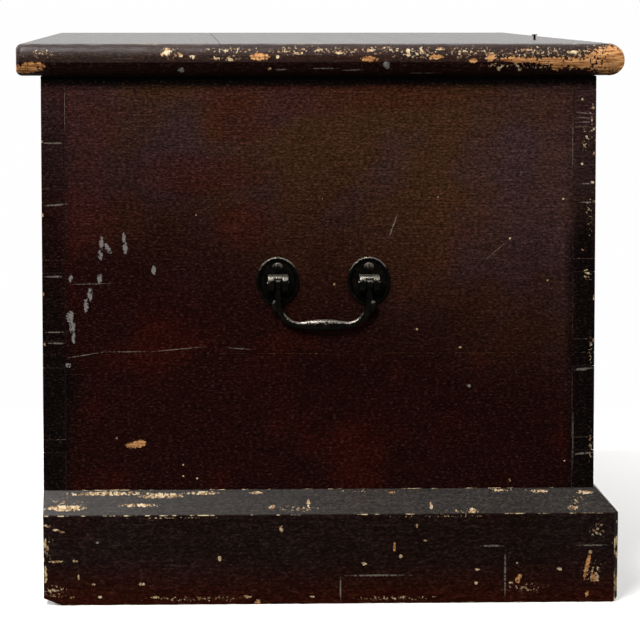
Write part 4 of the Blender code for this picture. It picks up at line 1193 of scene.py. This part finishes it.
def half_bail():
    """Half of the bar, from the front eye to the middle of the grip, worked in the middle's own axes."""
    start = Vector((PIVOT.x, PIVOT.y - HANDLE_MIDDLE, PIVOT.z))
    bpy.ops.object.select_all(action="DESELECT")
    bpy.ops.mesh.primitive_circle_add(vertices=20, radius=LEG_RADIUS, location=start)
    bar = bpy.context.object
    bpy.ops.object.transform_apply()
    bpy.ops.object.mode_set(mode="EDIT")
    bpy.ops.mesh.select_all(action="SELECT")
    for growth in LEG_TAPER:
        stretch((0, 0, -(DROP - BEND) / len(LEG_TAPER)), growth)
    centre = start + Vector((0, BEND, BEND - DROP))
    bpy.ops.mesh.spin(steps=10, angle=math.radians(-90), center=centre, axis=(1, 0, 0))
    bend_radius = LEG_RADIUS * math.prod(LEG_TAPER)
    thick = bend_radius
    for share in GRIP_SWELL:
        wanted = bend_radius + (GRIP_RADIUS - bend_radius) * share
        stretch((0, HALF_GRIP / len(GRIP_SWELL), 0), wanted / thick)
        thick = wanted
    bpy.ops.object.mode_set(mode="OBJECT")
    bpy.ops.mesh.primitive_cylinder_add(
        vertices=24, radius=EYE_RADIUS, depth=EYE_WIDTH, location=start, rotation=(math.radians(90), 0, 0)
    )
    eye = bpy.context.object
    ease_edges(eye, EYE_ARRIS, 3, -1)
    bpy.ops.mesh.primitive_uv_sphere_add(
        segments=16, ring_count=10, radius=1, location=start + HEEL_PLACE, scale=HEEL
    )
    heel = bpy.context.object
    hold(bar)
    eye.select_set(True)
    heel.select_set(True)
    bpy.ops.object.join()
    return bar


def whole_bail():
    """The bar mirrored to its full span, and smoothed."""
    bar = half_bail()
    other = bar.modifiers.new("other half", "MIRROR")
    other.use_axis = (False, True, False)
    bpy.ops.object.modifier_apply(modifier=other.name)
    round_off(bar)
    bar.location.y = HANDLE_MIDDLE
    bpy.ops.object.transform_apply()
    turn_faces_out(bar)
    bpy.ops.object.shade_smooth_by_angle(angle=BAIL_SMOOTH)
    return bar


bail = whole_bail()
bail.data.materials.append(handle_iron)
for end, mirrored in (("left", False), ("right", True)):
    set_handle_piece(bail, f"{end}_handle_bail", f"{end}_bail", 0, mirrored)
bpy.data.objects.remove(bail)


# The photographer's floor, light and camera. The floor keeps the box's shadow close by and is plain white
# further off, to the eye and in reflections.
FLOOR_SIZE = 60
FOOTPRINT = (0.55, 0.28, 0.0)
SHADOW_FROM = 0.02
SHADOW_TO = 0.5
LENS = 191.6
CAMERA = (LEFT - 3.2, 0.1318, 0.5681)
TILT = math.radians(90 - 5.36)
PAN = math.radians(-90 - 2.338)


def seen_rays(add):
    """One for what the camera sees, straight or in a reflection, and nothing for stray light."""
    rays = add("LightPath", {}, None)
    seen = add("Math", {0: rays["Is Camera Ray"], 1: rays["Is Glossy Ray"]}, operation="MAXIMUM")
    return add("Math", {0: seen, 1: rays["Is Transmission Ray"]}, operation="MAXIMUM")


bpy.ops.object.select_all(action="DESELECT")
bpy.ops.mesh.primitive_plane_add(size=FLOOR_SIZE, location=(0, 0, 0))
ground = bpy.context.object
ground.name = "studio_floor"
paper, add, shader = new_material("pale_studio_paper")
paper.node_tree.nodes.remove(shader)
place = add("TexCoord", {}, "Object")
off = add("VectorMath", {0: place}, operation="ABSOLUTE")
off = add("VectorMath", {0: off, 1: FOOTPRINT}, operation="SUBTRACT")
off = add("VectorMath", {0: off, 1: (0.0, 0.0, 0.0)}, operation="MAXIMUM")
off = add("VectorMath", {0: off}, 1, operation="LENGTH")
far = add("MapRange", {0: off, 1: SHADOW_FROM, 2: SHADOW_TO}, interpolation_type="SMOOTHSTEP")
pale = add("BsdfDiffuse", {0: colour("#fbfaf8")})
white = add("Emission", {0: colour("#fefefe"), 1: 1.0})
shown = add("MixShader", {0: far, 1: pale, 2: white})
dim = add("BsdfDiffuse", {0: colour("#3a3937")})
both = add("MixShader", {0: seen_rays(add), 1: dim, 2: shown})
plug(paper.node_tree.nodes["Material Output"], {"Surface": both})
ground.data.materials.append(paper)

world = bpy.data.worlds.new("studio")
bpy.context.scene.world = world
world.use_nodes = True
add = partial(add_node, world.node_tree)
fill = add("Background", {0: colour("#f2f5ff"), 1: 0.08})
white = add("Background", {0: colour("#fefefe"), 1: 1.0})
both = add("MixShader", {0: seen_rays(add), 1: fill, 2: white})
plug(world.node_tree.nodes["World Output"], {"Surface": both})


def softbox(name, place, target, side, watts, mirrored):
    """A soft square lamp turned towards a point, which shiny surfaces mirror or not."""
    lamp = bpy.data.lights.new(name, "AREA")
    lamp.shape = "SQUARE"
    lamp.size = side
    lamp.energy = watts
    holder = bpy.data.objects.new(name, lamp)
    holder.location = place
    holder.rotation_euler = (Vector(target) - Vector(place)).to_track_quat("-Z", "Y").to_euler()
    holder.visible_glossy = mirrored
    bpy.context.collection.objects.link(holder)


softbox("overhead", (-0.75, 0.66, 1.9), (-0.6, 0.5, 0.0), 0.75, 36, True)
softbox("key", (-2.6, 0.6, 1.36), (-0.5, 0.0, 0.36), 0.7, 54, False)
softbox("front", (-0.3, -3.0, 1.5), (0.0, -0.26, 0.32), 1.0, 96, False)
softbox("right", (2.7, -0.6, 1.4), (0.5, 0.0, 0.34), 0.8, 60, False)
softbox("back", (0.3, 3.0, 1.6), (0.0, 0.26, 0.32), 1.0, 100, False)

camera = bpy.data.cameras.new("photograph")
camera.sensor_width = 36
camera.lens = LENS
holder = bpy.data.objects.new("photograph", camera)
holder.location = CAMERA
holder.rotation_euler = (TILT, 0, PAN)
bpy.context.collection.objects.link(holder)
bpy.context.scene.camera = holder
bpy.context.scene.view_settings.view_transform = "Standard"
